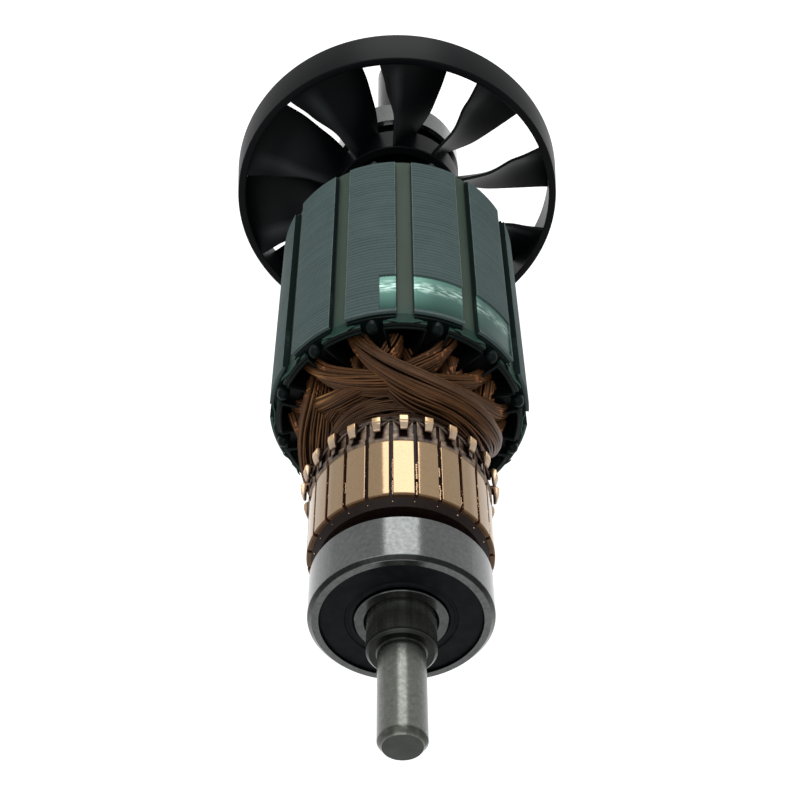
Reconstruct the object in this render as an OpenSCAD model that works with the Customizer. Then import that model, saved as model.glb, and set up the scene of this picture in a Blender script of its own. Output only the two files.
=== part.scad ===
// Armature of a universal motor for a hand-held power tool, with its two ball bearings and its fan.
// The shaft runs along +Y and +Z is up. The origin is the centre of the commutator bearing.
// Places along the shaft are distances from that centre, towards the fan. Angles are degrees
// clockwise from the top, seen from the commutator end. All sizes are in millimetres.

/* [Shaft] */
// Radius of the pin at the commutator end
stub_r = 4.1; // [3:0.1:5]
// Length of that pin
stub_l = 18.7; // [8:0.1:25]
// Length of the bearing seat that shows in front of the bearing
seat_proud = 6.9; // [2:0.1:10]
// Radius of the shaft under the commutator, the core and the fan
shaft_r = 7; // [6.6:0.1:7.6]
// Radius of the output end, turned just under the bearing seat
output_r = 4.8; // [4.4:0.05:4.8]
// Length of the output end behind the drive bearing
output_l = 41.2; // [15:0.1:60]
// Chamfer on the shaft's ends and shoulders
shaft_chamfer = 0.5; // [0.2:0.1:0.8]
// Wall of the insulating sleeve under the core
sleeve_wall = 1.2; // [0.8:0.1:1.6]

/* [Commutator bearing] */
// Outer radius
b1_outer_r = 16; // [15.5:0.1:16.5]
// Bore radius, which is also the shaft's seat
b1_bore_r = 6; // [5.7:0.1:6.2]
// Width
b1_width = 10; // [9:0.1:11]
// Radius of a ball
b1_ball_r = 2.976; // [2.6:0.01:3]
// Number of balls
b1_balls = 7; // [5:1:8]

/* [Drive bearing] */
// Outer radius
b2_outer_r = 15; // [14.2:0.1:15.5]
// Bore radius, which is also the shaft's seat
b2_bore_r = 5; // [4.7:0.1:5.2]
// Width
b2_width = 9; // [8.5:0.1:10]
// Radius of a ball
b2_ball_r = 2.381; // [2.2:0.01:2.6]
// Number of balls
b2_balls = 8; // [6:1:9]

/* [Commutator] */
// Radius of the brush track
track_r = 16.7; // [16:0.1:18]
// Length of the brush track
track_l = 13; // [8:0.1:16]
// Length of the unturned collar behind the track
collar_l = 1.7; // [1:0.1:3]
// Number of bars
bars = 24; // [16:2:24]
// Width of the saw cut between two bars
bar_gap = 0.66; // [0.4:0.02:0.9]
// Depth of the saw cut below the track, down to the insulation
undercut = 0.9; // [0.4:0.1:1.2]
// Width of a hook
hook_w = 1.9; // [1.2:0.1:2.4]
// Thickness of a hook
hook_t = 0.9; // [0.6:0.05:1.1]
// Free height under a hook for the wire
hook_room = 0.9; // [0.85:0.05:1.2]
// Gap between the bearing and the commutator
front_gap = 3; // [1:0.1:6]
// Angle of the first bar
bar_phase = 0.9; // [-7:0.1:7]

/* [Laminated core] */
// Outer radius
core_r = 25.6; // [24.6:0.1:26.5]
// Length of the stack
core_l = 53; // [30:0.5:80]
// Distance from the commutator to the stack, which the front coil heads fill
front_head_l = 17.2; // [16:0.1:24]
// Number of slots
slots = 12; // [12:1:12]
// Width of a tooth
tooth_w = 4.4; // [3.6:0.1:5]
// Thickness of a tooth's tip
tip_t = 1.4; // [1:0.1:1.8]
// Width of a slot's mouth
mouth_w = 3.4; // [2.4:0.1:4]
// Radius from the axis to the centre of a slot's round bottom
slot_root_r = 15.2; // [14.6:0.1:16]
// Angle of the first slot
slot_phase = 1.6; // [-14:0.1:14]
// Depth of the balancing cut on the teeth
cut_depth = 0.3; // [0.15:0.05:0.6]
// Width of the balancing cut along the shaft
cut_w = 10.8; // [5:0.1:20]

/* [Insulation and winding] */
// Wall of a slot liner
liner_t = 0.35; // [0.2:0.05:0.5]
// Length of a liner past the end of the core
liner_proud = 2.4; // [1.6:0.1:2.8]
// Thickness of a slot wedge
wedge_t = 0.8; // [0.6:0.05:1.1]
// Length of a wedge past the end of the core
wedge_proud = 2; // [1.4:0.1:2.6]
// Thickness of the insulator on each end of the core
insulator_t = 1; // [0.6:0.1:1.4]
// Free space around the wires in a slot
wire_clear = 0.15; // [0.1:0.05:0.3]
// Length of the rear coil heads
rear_head_l = 11; // [10:0.1:16]
// Thickness of a coil head
coil_t = 3.7; // [3:0.1:4.2]

/* [Fan] */
// Outer radius of the ring at the edge that faces the core
fan_r = 37.7; // [36.5:0.1:42]
// How much wider the ring is at its far edge
fan_flare = 0.7; // [0:0.1:1.5]
// Wall of the ring
fan_wall = 1.75; // [1.5:0.05:2.4]
// Length of the ring along the shaft
fan_l = 10; // [9:0.1:14]
// Radius of the hub
fan_hub_r = 15; // [13.5:0.1:17]
// Number of blades
blades = 10; // [7:1:11]
// Thickness of a blade
blade_t = 1.5; // [1.2:0.1:2]
// Angle that a blade turns through from its front edge to its rear edge
blade_sweep = 24.5; // [15:0.5:28]
// Distance from the core to the fan
fan_gap = 23.9; // [22:0.1:35]
// Distance from the fan's ring to the drive bearing
fan_to_bearing = 2.3; // [1:0.1:8]

/* [Hidden] */

// Places along the shaft, from the commutator end to the output end
b1_face = b1_width / 2;
seat_front = -b1_face - seat_proud;
stub_end = seat_front - stub_l;
hub_front = b1_face + front_gap;
bar_bevel = 0.5;
bar_bevel_drop = 0.4;
bar_front = hub_front + 1.1;
track_rear = bar_front + bar_bevel + track_l;
collar_rear = track_rear + collar_l;
hook_l = 3.4;
bar_rear = collar_rear + 0.2 + hook_l + 0.3;
hub_collar_l = 3.6;
hub_rear = bar_rear + hub_collar_l;
core_front = hub_rear + front_head_l;
core_rear = core_front + core_l;
heads_rear = core_rear + liner_proud + rear_head_l;
fan_front = core_rear + fan_gap;
fan_rear = fan_front + fan_l;
b2_front = fan_rear + fan_to_bearing;
b2_middle = b2_front + b2_width / 2;
b2_rear = b2_front + b2_width;
output_end = b2_rear + output_l;

// Commutator radii
bush_r = shaft_r + 1.4;
collar_r = track_r + 0.2;
riser_r = track_r - 0.3;
fill_r = track_r - undercut;
bar_depth = 4.1;
foot_r = track_r - bar_depth;
neck_r = foot_r + 1.6;
lip_r = foot_r + 2.2;
neck_in = 3.8;
foot_in = 2.4;
hook_under_r = riser_r + hook_room;
hook_top_r = hook_under_r + hook_t + 0.2;
lead_r = (hook_room - 0.2) / 2;

// Slot outline
half_pitch = 180 / slots;
slot_top_r = core_r - tip_t;
slot_root_round = slot_root_r * sin(half_pitch) - tooth_w / 2;
flank_l = slot_top_r - slot_root_r + 2;
wedge_under_r = slot_top_r - wedge_t;
sleeve_r = shaft_r + sleeve_wall;

// Balancing cut
cut_front = core_front + 0.8;
cut_start = -9.5;
cut_end = 57.5;

// Coils: each spans five slots of twelve. They are wound in opposite pairs, the last pair outermost.
coil_span = 5 * 2 * half_pitch;
coil_lean = half_pitch / 3;
wires_top_r = wedge_under_r - 1.1;
wires_foot_r = slot_root_r - 1.2;
coil_foot_r = (wires_top_r + wires_foot_r) / 2;
coil_w = wires_top_r - wires_foot_r;
head_steps = 6;
fill_drop = 3;
inner_fill_r = coil_foot_r - fill_drop;
outer_fill_r = coil_foot_r + 1;
wound_last = -30;

// Fan
fan_hub_l = 7.5;
fan_hub_front = fan_front + 0.6;
fan_boss_wall = 3;
fan_boss_r = shaft_r + fan_boss_wall;
fan_hub_wall = 2;
fan_web = 2.2;
blade_front_angle = -5;
blade_front = fan_hub_front + 0.4;
blade_rear = fan_rear - 0.1;
blade_rear_slope = 1;
blade_root_r = fan_hub_r - fan_hub_wall / 2;
blade_tip_r = fan_r - fan_wall / 2 - 0.1;
blade_rows = 7;
blade_cols = 4;

// Clearances in the bearings
ball_clear = 0.04;
lip_clear = 0.1;

// Puts children that stand along Z onto the shaft, at a place along it
module on_shaft(place = 0) {
    rotate([-90, 0, 0]) translate([0, 0, place]) children();
}

// Turns children, drawn along +X, to an angle clockwise from the top
module spoke(angle) {
    rotate([0, 0, angle - 90]) children();
}

// A turned solid about the shaft, from points [radius, place]
module turned(points) {
    on_shaft() rotate_extrude() polygon(points);
}

module shaft() {
    c = shaft_chamfer;
    tip_c = 1.1;
    color([0.55, 0.56, 0.57]) turned([
        [0, stub_end], [stub_r - 0.8, stub_end], [stub_r, stub_end + tip_c],
        [stub_r, seat_front], [b1_bore_r - c, seat_front], [b1_bore_r, seat_front + c],
        [b1_bore_r, b1_face], [shaft_r, b1_face], [shaft_r, b2_front],
        [b2_bore_r, b2_front], [b2_bore_r, b2_rear], [output_r, b2_rear],
        [output_r, output_end - c], [output_r - c, output_end], [0, output_end]
    ]);
}

module shaft_sleeve() {
    color([0.75, 0.7, 0.58]) turned([
        [shaft_r, hub_rear], [sleeve_r, hub_rear],
        [sleeve_r, heads_rear + 2], [shaft_r, heads_rear + 2]
    ]);
}

// Slot profile along +X, drawn smaller all round by the inset, up to a top radius
module slot_profile(inset, top_r, sides = 48) {
    s = sin(half_pitch);
    c = cos(half_pitch);
    root = slot_root_round - inset;
    bx = slot_root_r - root * s;
    by = root * c;
    tx = bx + flank_l * c;
    ty = by + flank_l * s;
    translate([slot_root_r, 0]) circle(r = root, $fn = sides);
    intersection() {
        polygon([[bx, -by], [tx, -ty], [tx, ty], [bx, by]]);
        circle(r = top_r, $fn = sides * 4);
    }
}

// One extruded copy in each slot, between two places along the shaft
module in_slots(from, to) {
    on_shaft(from)
        for (i = [0 : slots - 1])
            spoke(slot_phase + i * 2 * half_pitch) linear_extrude(to - from) children();
}

module lamination_core() {
    color([0.31, 0.38, 0.37]) difference() {
        on_shaft(core_front) linear_extrude(core_l) difference() {
            circle(r = core_r, $fn = 180);
            circle(r = sleeve_r, $fn = 90);
        }
        in_slots(core_front - 1, core_rear + 1) {
            slot_profile(0, slot_top_r);
            translate([slot_root_r, -mouth_w / 2]) square([core_r - slot_root_r + 1, mouth_w]);
        }
        balancing_cut();
    }
}

// A shallow milled band across three teeth, which balances the rotor
module balancing_cut() {
    reach = core_r * 2;
    on_shaft(cut_front) intersection() {
        linear_extrude(cut_w) difference() {
            circle(r = core_r + 1, $fn = 180);
            circle(r = core_r - cut_depth, $fn = 180);
        }
        linear_extrude(cut_w) polygon([
            [0, 0],
            [reach * sin(cut_start), -reach * cos(cut_start)],
            [reach, -reach * 0.9],
            [reach * sin(cut_end), -reach * cos(cut_end)]
        ]);
    }
}

module slot_liners() {
    color([0.05, 0.06, 0.06]) in_slots(core_front - liner_proud, core_rear + liner_proud)
        difference() {
            slot_profile(0, wedge_under_r);
            slot_profile(liner_t, wedge_under_r + 1);
        }
}

module slot_wedges() {
    color([0.27, 0.33, 0.28])
        in_slots(core_front - wedge_proud, core_rear + wedge_proud) difference() {
            slot_profile(0, slot_top_r);
            circle(r = wedge_under_r, $fn = 180);
        }
}

// Insulator on one end of the core, with a round peg over each tooth
module end_insulator(place, peg_way) {
    peg_r = 1.25;
    peg_l = 1.6;
    peg_at = core_r - 2.1;
    color([0.04, 0.045, 0.045]) {
        difference() {
            on_shaft(place) linear_extrude(insulator_t) difference() {
                circle(r = core_r - 0.7, $fn = 180);
                circle(r = sleeve_r, $fn = 90);
            }
            in_slots(place - 1, place + insulator_t + 1) {
                slot_profile(0, slot_top_r);
                translate([slot_root_r, -mouth_w / 2]) square([core_r - slot_root_r + 1, mouth_w]);
            }
        }
        on_shaft(place + insulator_t / 2)
            for (i = [0 : slots - 1])
                spoke(slot_phase + (2 * i + 1) * half_pitch) translate([peg_at, 0, 0])
                    scale([1, 1, peg_way]) {
                        cylinder(r = peg_r, h = peg_l, $fn = 32);
                        translate([0, 0, peg_l]) sphere(r = peg_r, $fn = 32);
                    }
    }
}

module front_end_insulator() {
    end_insulator(core_front - insulator_t, -1);
}

module rear_end_insulator() {
    end_insulator(core_rear, 1);
}

// Faces of a closed loft through rows of points; each row has an even number of points and is
// drawn clockwise, seen from ahead
function loft_faces(rows, sides) = concat(
    [
        for (k = [0 : sides / 2 - 2]) for (half = [0, 1])
            let (a = k, b = k + 1, c = sides - 2 - k, d = sides - 1 - k)
            half == 0 ? [c, b, a] : [d, c, a]
    ],
    [
        for (k = [0 : sides / 2 - 2]) for (half = [0, 1])
            let (
                first = (rows - 1) * sides,
                a = first + k,
                b = first + k + 1,
                c = first + sides - 2 - k,
                d = first + sides - 1 - k
            )
            half == 0 ? [a, b, c] : [a, c, d]
    ],
    [
        for (i = [0 : rows - 2]) for (k = [0 : sides - 1]) for (half = [0, 1])
            let (
                a = i * sides + k,
                b = i * sides + (k + 1) % sides,
                c = b + sides,
                d = a + sides
            )
            half == 0 ? [a, b, c] : [a, c, d]
    ]
);

module loft(rows) {
    polyhedron(points = [for (row = rows) each row], faces = loft_faces(len(rows), len(rows[0])));
}

// The same, one convex length at a time, for bundles that cross each other
module bundle(rows) {
    for (i = [0 : len(rows) - 2]) hull() loft([rows[i], rows[i + 1]]);
}

// Cross-section of a coil head at one station of its arc
function head_row(angle, radius, place, width, height) =
    let (w = width / 2, h = height / 2, c = h / 2, a = angle - 90)
    [
        for (p = [
            [-w + c, -h], [w - c, -h], [w, -h + c], [w, h - c],
            [w - c, h], [-w + c, h], [-w, h - c], [-w, -h + c]
        ])
            [(radius + p[0]) * cos(a), (radius + p[0]) * sin(a), place + p[1]]
    ];

// Coil head from one slot, round the shaft, to the slot five further on.
// rise is how far its middle stands off the end of the core, waist how near the shaft it passes.
module coil_head(start, foot_place, way, rise, waist) {
    span = coil_span - 2 * coil_lean;
    bundle([
        for (i = [0 : head_steps])
            let (t = i / head_steps, bow = sin(180 * t))
            head_row(
                start + coil_lean + span * t,
                coil_foot_r - (coil_foot_r - waist) * bow,
                foot_place + way * (coil_t / 2 + 0.05 + rise * pow(bow, 0.7)),
                coil_w,
                coil_t
            )
    ]);
}

// Ring of coil heads at one end, in opposite pairs: each later pair lies further out
module coil_heads(foot_place, way, reach) {
    pairs = slots / 2;
    inner = sleeve_r + 0.3 + coil_w / 2;
    for (i = [0 : slots - 1]) {
        turn = (i % pairs) / (pairs - 1);
        coil_head(
            slot_phase + wound_last + (i + 1 - pairs) * 2 * half_pitch, foot_place, way,
            reach * (0.15 + 0.57 * turn), inner + 1.8 * turn
        );
    }
}

// Round cross-section of a lead at a point of its route, square to the way it runs
function lead_row(point, way) =
    let (t = way / norm(way), u = cross(t, [1, 0, 0]) / norm(cross(t, [1, 0, 0])))
    [for (k = [0 : 5]) point + lead_r * (cos(60 * k) * u + sin(60 * k) * [1, 0, 0])];

// Ends of two coils, looped round the root of a hook
module lead(angle) {
    side = hook_w / 2 + lead_r + 0.12;
    low = riser_r + lead_r + 0.08;
    front = bar_rear - hook_t - lead_r - 0.15;
    half = [
        [inner_fill_r, hub_rear + fill_drop, side], [low, bar_rear + 0.9, side], [low, front, side - 0.1]
    ];
    route = concat(
        [for (p = half) [p[0], -p[2], p[1]]],
        [for (i = [len(half) - 1 : -1 : 0]) [half[i][0], half[i][2], half[i][1]]]
    );
    last = len(route) - 1;
    spoke(angle) bundle([
        for (i = [0 : last])
            lead_row(route[i], route[min(i + 1, last)] - route[max(i - 1, 0)])
    ]);
}

module winding() {
    wires_r = wedge_under_r - wire_clear;
    front_foot = core_front - liner_proud;
    rear_foot = core_rear + liner_proud;
    core_of_heads = sleeve_r + 0.1;
    color([0.42, 0.24, 0.13]) union() {
        in_slots(front_foot - 1, rear_foot + 1)
            slot_profile(liner_t + wire_clear, wires_r, 14);
        on_shaft() coil_heads(front_foot, -1, front_head_l - liner_proud - 1.5);
        on_shaft() coil_heads(rear_foot, 1, rear_head_l);
        on_shaft() for (i = [0 : bars - 1]) lead(bar_phase + i * 360 / bars);
        turned([
            [core_of_heads, hub_rear + 0.6], [inner_fill_r - 1.2, hub_rear + 0.6],
            [outer_fill_r, front_foot - front_head_l / 2], [outer_fill_r, front_foot],
            [core_of_heads, front_foot]
        ]);
        turned([
            [core_of_heads, rear_foot], [outer_fill_r, rear_foot],
            [outer_fill_r, rear_foot + rear_head_l * 0.4],
            [inner_fill_r - 2, rear_foot + rear_head_l * 0.85],
            [core_of_heads, rear_foot + rear_head_l * 0.85]
        ]);
    }
}

// Outline of a bar with its dovetail foot, as [radius, place]
function bar_outline() = [
    [track_r - bar_bevel_drop, bar_front], [lip_r, bar_front], [neck_r, bar_front + neck_in],
    [foot_r + 0.6, bar_front + foot_in], [foot_r, bar_front + foot_in],
    [foot_r, bar_rear - foot_in], [foot_r + 0.6, bar_rear - foot_in],
    [neck_r, bar_rear - neck_in], [lip_r, bar_rear], [riser_r, bar_rear],
    [riser_r, collar_rear], [collar_r, collar_rear], [collar_r, track_rear],
    [track_r, track_rear], [track_r, bar_front + bar_bevel]
];

// Outline of a hook that is bent forward over the wire, as [radius, place]
function hook_outline() = [
    [riser_r - 0.4, bar_rear], [hook_under_r + 0.2, bar_rear],
    [hook_top_r, bar_rear - 0.8], [hook_top_r, bar_rear - 1.4],
    [hook_under_r + 0.7, collar_rear + 0.4], [hook_under_r + 0.3, collar_rear + 0.1],
    [hook_under_r, collar_rear + 0.3], [hook_under_r, bar_rear - hook_t - 0.1],
    [riser_r - 0.4, bar_rear - hook_t]
];

// Bars without their hooks, parted by the saw cuts
module bar_ring() {
    depth = 2 * (track_r - foot_r);
    difference() {
        turned(bar_outline());
        on_shaft(bar_front - 1)
            for (i = [0 : bars - 1])
                spoke(bar_phase + (i + 0.5) * 360 / bars)
                    translate([foot_r - 1, -bar_gap / 2, 0])
                        cube([depth, bar_gap, bar_rear - bar_front + 2]);
    }
}

module commutator_bars() {
    color([0.72, 0.55, 0.36]) {
        bar_ring();
        on_shaft()
            for (i = [0 : bars - 1])
                spoke(bar_phase + i * 360 / bars)
                    rotate([90, 0, 0]) linear_extrude(hook_w, center = true) polygon(hook_outline());
    }
}

module commutator_hub() {
    color([0.16, 0.09, 0.06]) difference() {
        turned([
            [bush_r, hub_front], [lip_r - 0.1, hub_front], [fill_r, bar_front],
            [fill_r, bar_rear], [lip_r - 1, bar_rear + 0.8], [lip_r - 1, hub_rear - 0.8],
            [lip_r - 1.8, hub_rear], [bush_r, hub_rear]
        ]);
        bar_ring();
    }
}

module commutator_bush() {
    color([0.7, 0.6, 0.35]) turned([
        [shaft_r, hub_front], [bush_r, hub_front], [bush_r, hub_rear], [shaft_r, hub_rear]
    ]);
}

// Smooth step from 0 to 1
function ease(x) = let (t = min(max(x, 0), 1)) t * t * (3 - 2 * t);

// Angle of a blade's front edge and of its rear edge, at a share of its span from hub to ring
function front_edge(span) =
    blade_front_angle + 1.2 + 1.6 * ease(span / 0.35) - 3.2 * ease((span - 0.35) / 0.35);
function rear_edge(span) =
    blade_front_angle + blade_sweep - 4.6 * pow(1 - min(span / 0.35, 1), 2) + 0.7 * ease(span * 2 - 1);

// Place of a blade's rear edge at a share of its span
function rear_place(span) = blade_rear - blade_rear_slope * (1 - ease((span - 0.3) / 0.4));

// Angle of a blade's point, at a share of its span and of its chord
function blade_angle(span, chord) =
    let (sweep = rear_edge(span) - front_edge(span))
    front_edge(span) + sweep * (chord - 0.14 * sin(180 * chord));

// Section of a blade at a share of its span: up its front face and back down its rear face
function blade_row(span) =
    let (
        r = blade_root_r + (blade_tip_r - blade_root_r) * span,
        stations = concat(
            [for (j = [0 : blade_cols]) [j, -1]],
            [for (j = [blade_cols : -1 : 0]) [j, 1]]
        )
    )
    [
        for (s = stations)
            let (
                chord = s[0] / blade_cols,
                half = blade_t / 2 * (0.45 + 0.55 * sin(180 * chord)),
                a = blade_angle(span, chord) - 90 + s[1] * half / r * 180 / PI * 0.8,
                length = rear_place(span) - blade_front,
                place = blade_front + length * chord - s[1] * half * 0.55
            )
            [r * cos(a), r * sin(a), place]
    ];

module blade() {
    loft([for (i = [0 : blade_rows]) blade_row(i / blade_rows)]);
}

module fan() {
    edge = 0.4;
    far_r = fan_r + fan_flare;
    hub_rear_face = fan_hub_front + fan_hub_l;
    color([0.07, 0.075, 0.08]) {
        turned([
            [fan_r - fan_wall, fan_front + edge], [fan_r - fan_wall + edge, fan_front],
            [fan_r - edge, fan_front], [fan_r, fan_front + edge],
            [far_r, fan_rear - edge], [far_r - edge, fan_rear],
            [far_r - fan_wall + edge, fan_rear], [far_r - fan_wall, fan_rear - edge]
        ]);
        turned([
            [shaft_r, fan_hub_front], [fan_boss_r, fan_hub_front],
            [fan_boss_r, hub_rear_face - fan_web], [fan_hub_r - fan_hub_wall, hub_rear_face - fan_web],
            [fan_hub_r - fan_hub_wall, fan_hub_front], [fan_hub_r - edge, fan_hub_front],
            [fan_hub_r, fan_hub_front + edge], [fan_hub_r, hub_rear_face - edge],
            [fan_hub_r - edge, hub_rear_face], [shaft_r, hub_rear_face]
        ]);
        on_shaft() for (i = [0 : blades - 1]) rotate([0, 0, i * 360 / blades]) blade();
    }
}

// Sizes shared by the pieces of one bearing, about its own middle
function pitch_r(outer_r, bore_r) = (outer_r + bore_r) / 2;
function seal_room(width) = width / 2 - 0.5;
function seal_t() = 1;
function seal_inner_r(bore_r) = bore_r * 1.36;
function seal_outer_r(outer_r) = outer_r * 0.88;

module outer_ring(place, outer_r, bore_r, width, ball_r) {
    w = width / 2;
    c = 0.75;
    pitch = pitch_r(outer_r, bore_r);
    step = seal_room(width) - seal_t();
    color([0.58, 0.6, 0.61]) on_shaft(place) difference() {
        rotate_extrude() polygon([
            [outer_r - c, -w], [outer_r, -w + c], [outer_r, w - c], [outer_r - c, w],
            [seal_outer_r(outer_r), w], [seal_outer_r(outer_r), step],
            [pitch + ball_r * 0.65, step], [pitch + ball_r * 0.65, -step],
            [seal_outer_r(outer_r), -step], [seal_outer_r(outer_r), -w]
        ]);
        rotate_extrude() translate([pitch, 0]) circle(r = ball_r + ball_clear, $fn = 64);
    }
}

module inner_ring(place, outer_r, bore_r, width, ball_r) {
    w = width / 2;
    c = 0.45;
    pitch = pitch_r(outer_r, bore_r);
    step = seal_room(width) - seal_t() - 0.15;
    lip = seal_inner_r(bore_r) - lip_clear;
    color([0.6, 0.61, 0.62]) on_shaft(place) difference() {
        rotate_extrude() polygon([
            [bore_r, -w + c], [bore_r + c, -w], [lip - 0.15, -w], [lip, -w + 0.15],
            [lip, -step], [pitch - ball_r * 0.6, -step], [pitch - ball_r * 0.6, step],
            [lip, step], [lip, w - 0.15], [lip - 0.15, w], [bore_r + c, w], [bore_r, w - c]
        ]);
        rotate_extrude() translate([pitch, 0]) circle(r = ball_r + ball_clear, $fn = 64);
    }
}

module balls(place, outer_r, bore_r, ball_r, count) {
    color([0.75, 0.76, 0.77]) on_shaft(place)
        for (i = [0 : count - 1])
            spoke(i * 360 / count) translate([pitch_r(outer_r, bore_r), 0, 0])
                sphere(r = ball_r, $fn = 48);
}

module cage(place, outer_r, bore_r, width, ball_r, count) {
    pitch = pitch_r(outer_r, bore_r);
    half = seal_room(width) - seal_t() - 0.2;
    wall = ball_r * 0.54;
    color([0.5, 0.45, 0.35]) on_shaft(place) difference() {
        rotate_extrude() polygon([
            [pitch - wall / 2, -half], [pitch + wall / 2, -half],
            [pitch + wall / 2, half], [pitch - wall / 2, half]
        ]);
        for (i = [0 : count - 1])
            spoke(i * 360 / count) translate([pitch - wall, 0, 0]) rotate([0, 90, 0])
                cylinder(r = ball_r + ball_clear, h = 2 * wall, $fn = 64);
    }
}

// Rubber seal, with a shallow groove round its lip; way is -1 at the front face and 1 at the rear
module seal(place, outer_r, bore_r, width, way) {
    face = seal_room(width);
    back = face - seal_t();
    inner = seal_inner_r(bore_r);
    outer = seal_outer_r(outer_r);
    color([0.03, 0.03, 0.035]) on_shaft(place) scale([1, 1, way]) rotate_extrude() polygon([
        [inner, back], [outer, back], [outer, face - 0.1], [outer - 0.35, face],
        [inner + 1.6, face], [inner + 1.4, face - 0.2], [inner + 1, face - 0.2],
        [inner + 0.8, face], [inner + 0.2, face], [inner, face - 0.2]
    ]);
}

module commutator_bearing_outer_ring() outer_ring(0, b1_outer_r, b1_bore_r, b1_width, b1_ball_r);
module commutator_bearing_inner_ring() inner_ring(0, b1_outer_r, b1_bore_r, b1_width, b1_ball_r);
module commutator_bearing_balls() balls(0, b1_outer_r, b1_bore_r, b1_ball_r, b1_balls);
module commutator_bearing_cage() cage(0, b1_outer_r, b1_bore_r, b1_width, b1_ball_r, b1_balls);
module commutator_bearing_front_seal() seal(0, b1_outer_r, b1_bore_r, b1_width, -1);
module commutator_bearing_rear_seal() seal(0, b1_outer_r, b1_bore_r, b1_width, 1);
module drive_bearing_outer_ring() outer_ring(b2_middle, b2_outer_r, b2_bore_r, b2_width, b2_ball_r);
module drive_bearing_inner_ring() inner_ring(b2_middle, b2_outer_r, b2_bore_r, b2_width, b2_ball_r);
module drive_bearing_balls() balls(b2_middle, b2_outer_r, b2_bore_r, b2_ball_r, b2_balls);
module drive_bearing_cage() cage(b2_middle, b2_outer_r, b2_bore_r, b2_width, b2_ball_r, b2_balls);
module drive_bearing_front_seal() seal(b2_middle, b2_outer_r, b2_bore_r, b2_width, -1);
module drive_bearing_rear_seal() seal(b2_middle, b2_outer_r, b2_bore_r, b2_width, 1);

shaft();
shaft_sleeve();
lamination_core();
slot_liners();
slot_wedges();
front_end_insulator();
rear_end_insulator();
winding();
commutator_bars();
commutator_hub();
commutator_bush();
fan();
commutator_bearing_outer_ring();
commutator_bearing_inner_ring();
commutator_bearing_balls();
commutator_bearing_cage();
commutator_bearing_front_seal();
commutator_bearing_rear_seal();
drive_bearing_outer_ring();
drive_bearing_inner_ring();
drive_bearing_balls();
drive_bearing_cage();
drive_bearing_front_seal();
drive_bearing_rear_seal();
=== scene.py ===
"""Dresses the solids of a motor armature: wound wires, rounded edges, burrs and finishes."""

import math
import random
from functools import cached_property, reduce

import bmesh
import bpy
from bpy.props import FloatProperty, FloatVectorProperty, IntProperty, PointerProperty
from mathutils import Matrix, Vector


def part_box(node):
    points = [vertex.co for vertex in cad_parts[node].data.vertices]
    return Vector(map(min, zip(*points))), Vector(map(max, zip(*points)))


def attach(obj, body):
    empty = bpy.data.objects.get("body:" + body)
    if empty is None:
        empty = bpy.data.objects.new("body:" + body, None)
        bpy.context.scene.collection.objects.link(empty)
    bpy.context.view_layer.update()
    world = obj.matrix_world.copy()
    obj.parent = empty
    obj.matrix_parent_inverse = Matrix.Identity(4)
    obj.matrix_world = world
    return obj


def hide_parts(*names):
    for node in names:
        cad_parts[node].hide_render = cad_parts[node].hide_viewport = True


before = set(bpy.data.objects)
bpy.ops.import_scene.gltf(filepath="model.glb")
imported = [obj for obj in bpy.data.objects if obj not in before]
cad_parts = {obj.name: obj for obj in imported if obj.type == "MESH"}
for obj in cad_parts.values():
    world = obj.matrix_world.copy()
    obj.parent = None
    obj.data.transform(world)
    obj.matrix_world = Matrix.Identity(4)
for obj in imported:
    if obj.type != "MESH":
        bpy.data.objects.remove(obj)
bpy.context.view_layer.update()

bl_info = {
    "name": "Motor armature",
    "version": (1, 0, 0),
    "blender": (4, 5, 0),
    "location": "View3D > Sidebar > Armature",
    "description": "Builds the wires, edges and finishes of a motor armature",
    "category": "Object",
}

MM = 0.001
FAR = 1.0
ROTOR = "rotor"


def linear(red, green, blue):
    """Shader colour from the 0 to 255 values seen on a screen"""
    return tuple(
        v / 12.92 if v <= 0.04045 else ((v + 0.055) / 1.055) ** 2.4
        for v in (red / 255, green / 255, blue / 255)
    )


BLACK = (0.0, 0.0, 0.0)
WHITE = (1.0, 1.0, 1.0)

# Places along the shaft, from the solids
CORE_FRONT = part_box("lamination_core")[0].y
CORE_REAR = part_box("lamination_core")[1].y
CORE_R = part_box("lamination_core")[1].z
LINER_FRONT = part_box("slot_liners")[0].y
LINER_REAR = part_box("slot_liners")[1].y
HUB_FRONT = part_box("commutator_hub")[0].y
HUB_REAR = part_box("commutator_hub")[1].y
BAR_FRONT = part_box("commutator_bars")[0].y
BAR_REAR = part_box("commutator_bars")[1].y
FAN_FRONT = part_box("fan")[0].y
FAN_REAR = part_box("fan")[1].y

# Slots and coils, as in the solids: angles in degrees, clockwise from the top
SLOTS = 12
SLOT_PHASE = 1.6
SLOT_PITCH = 360 / SLOTS
SLOT_EDGE = 1.71 * MM
LINER_RIM = 0.7 * MM
COIL_SPAN = 5 * SLOT_PITCH
LAST_COIL = -30.0

# Commutator: bars, the saw cuts between them, the brush track and the risers behind it
BARS = 24
BAR_PITCH = 360 / BARS
BAR_PHASE = 0.9
BAR_GAP = 0.66 * MM
TRACK_R = 16.7 * MM
TRACK_REAR = BAR_FRONT + 13.5 * MM
TRACK_BEVEL = 0.25 * MM
RISER_R = TRACK_R - 0.3 * MM
HOOK_WIRE = 0.5 * MM

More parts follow.
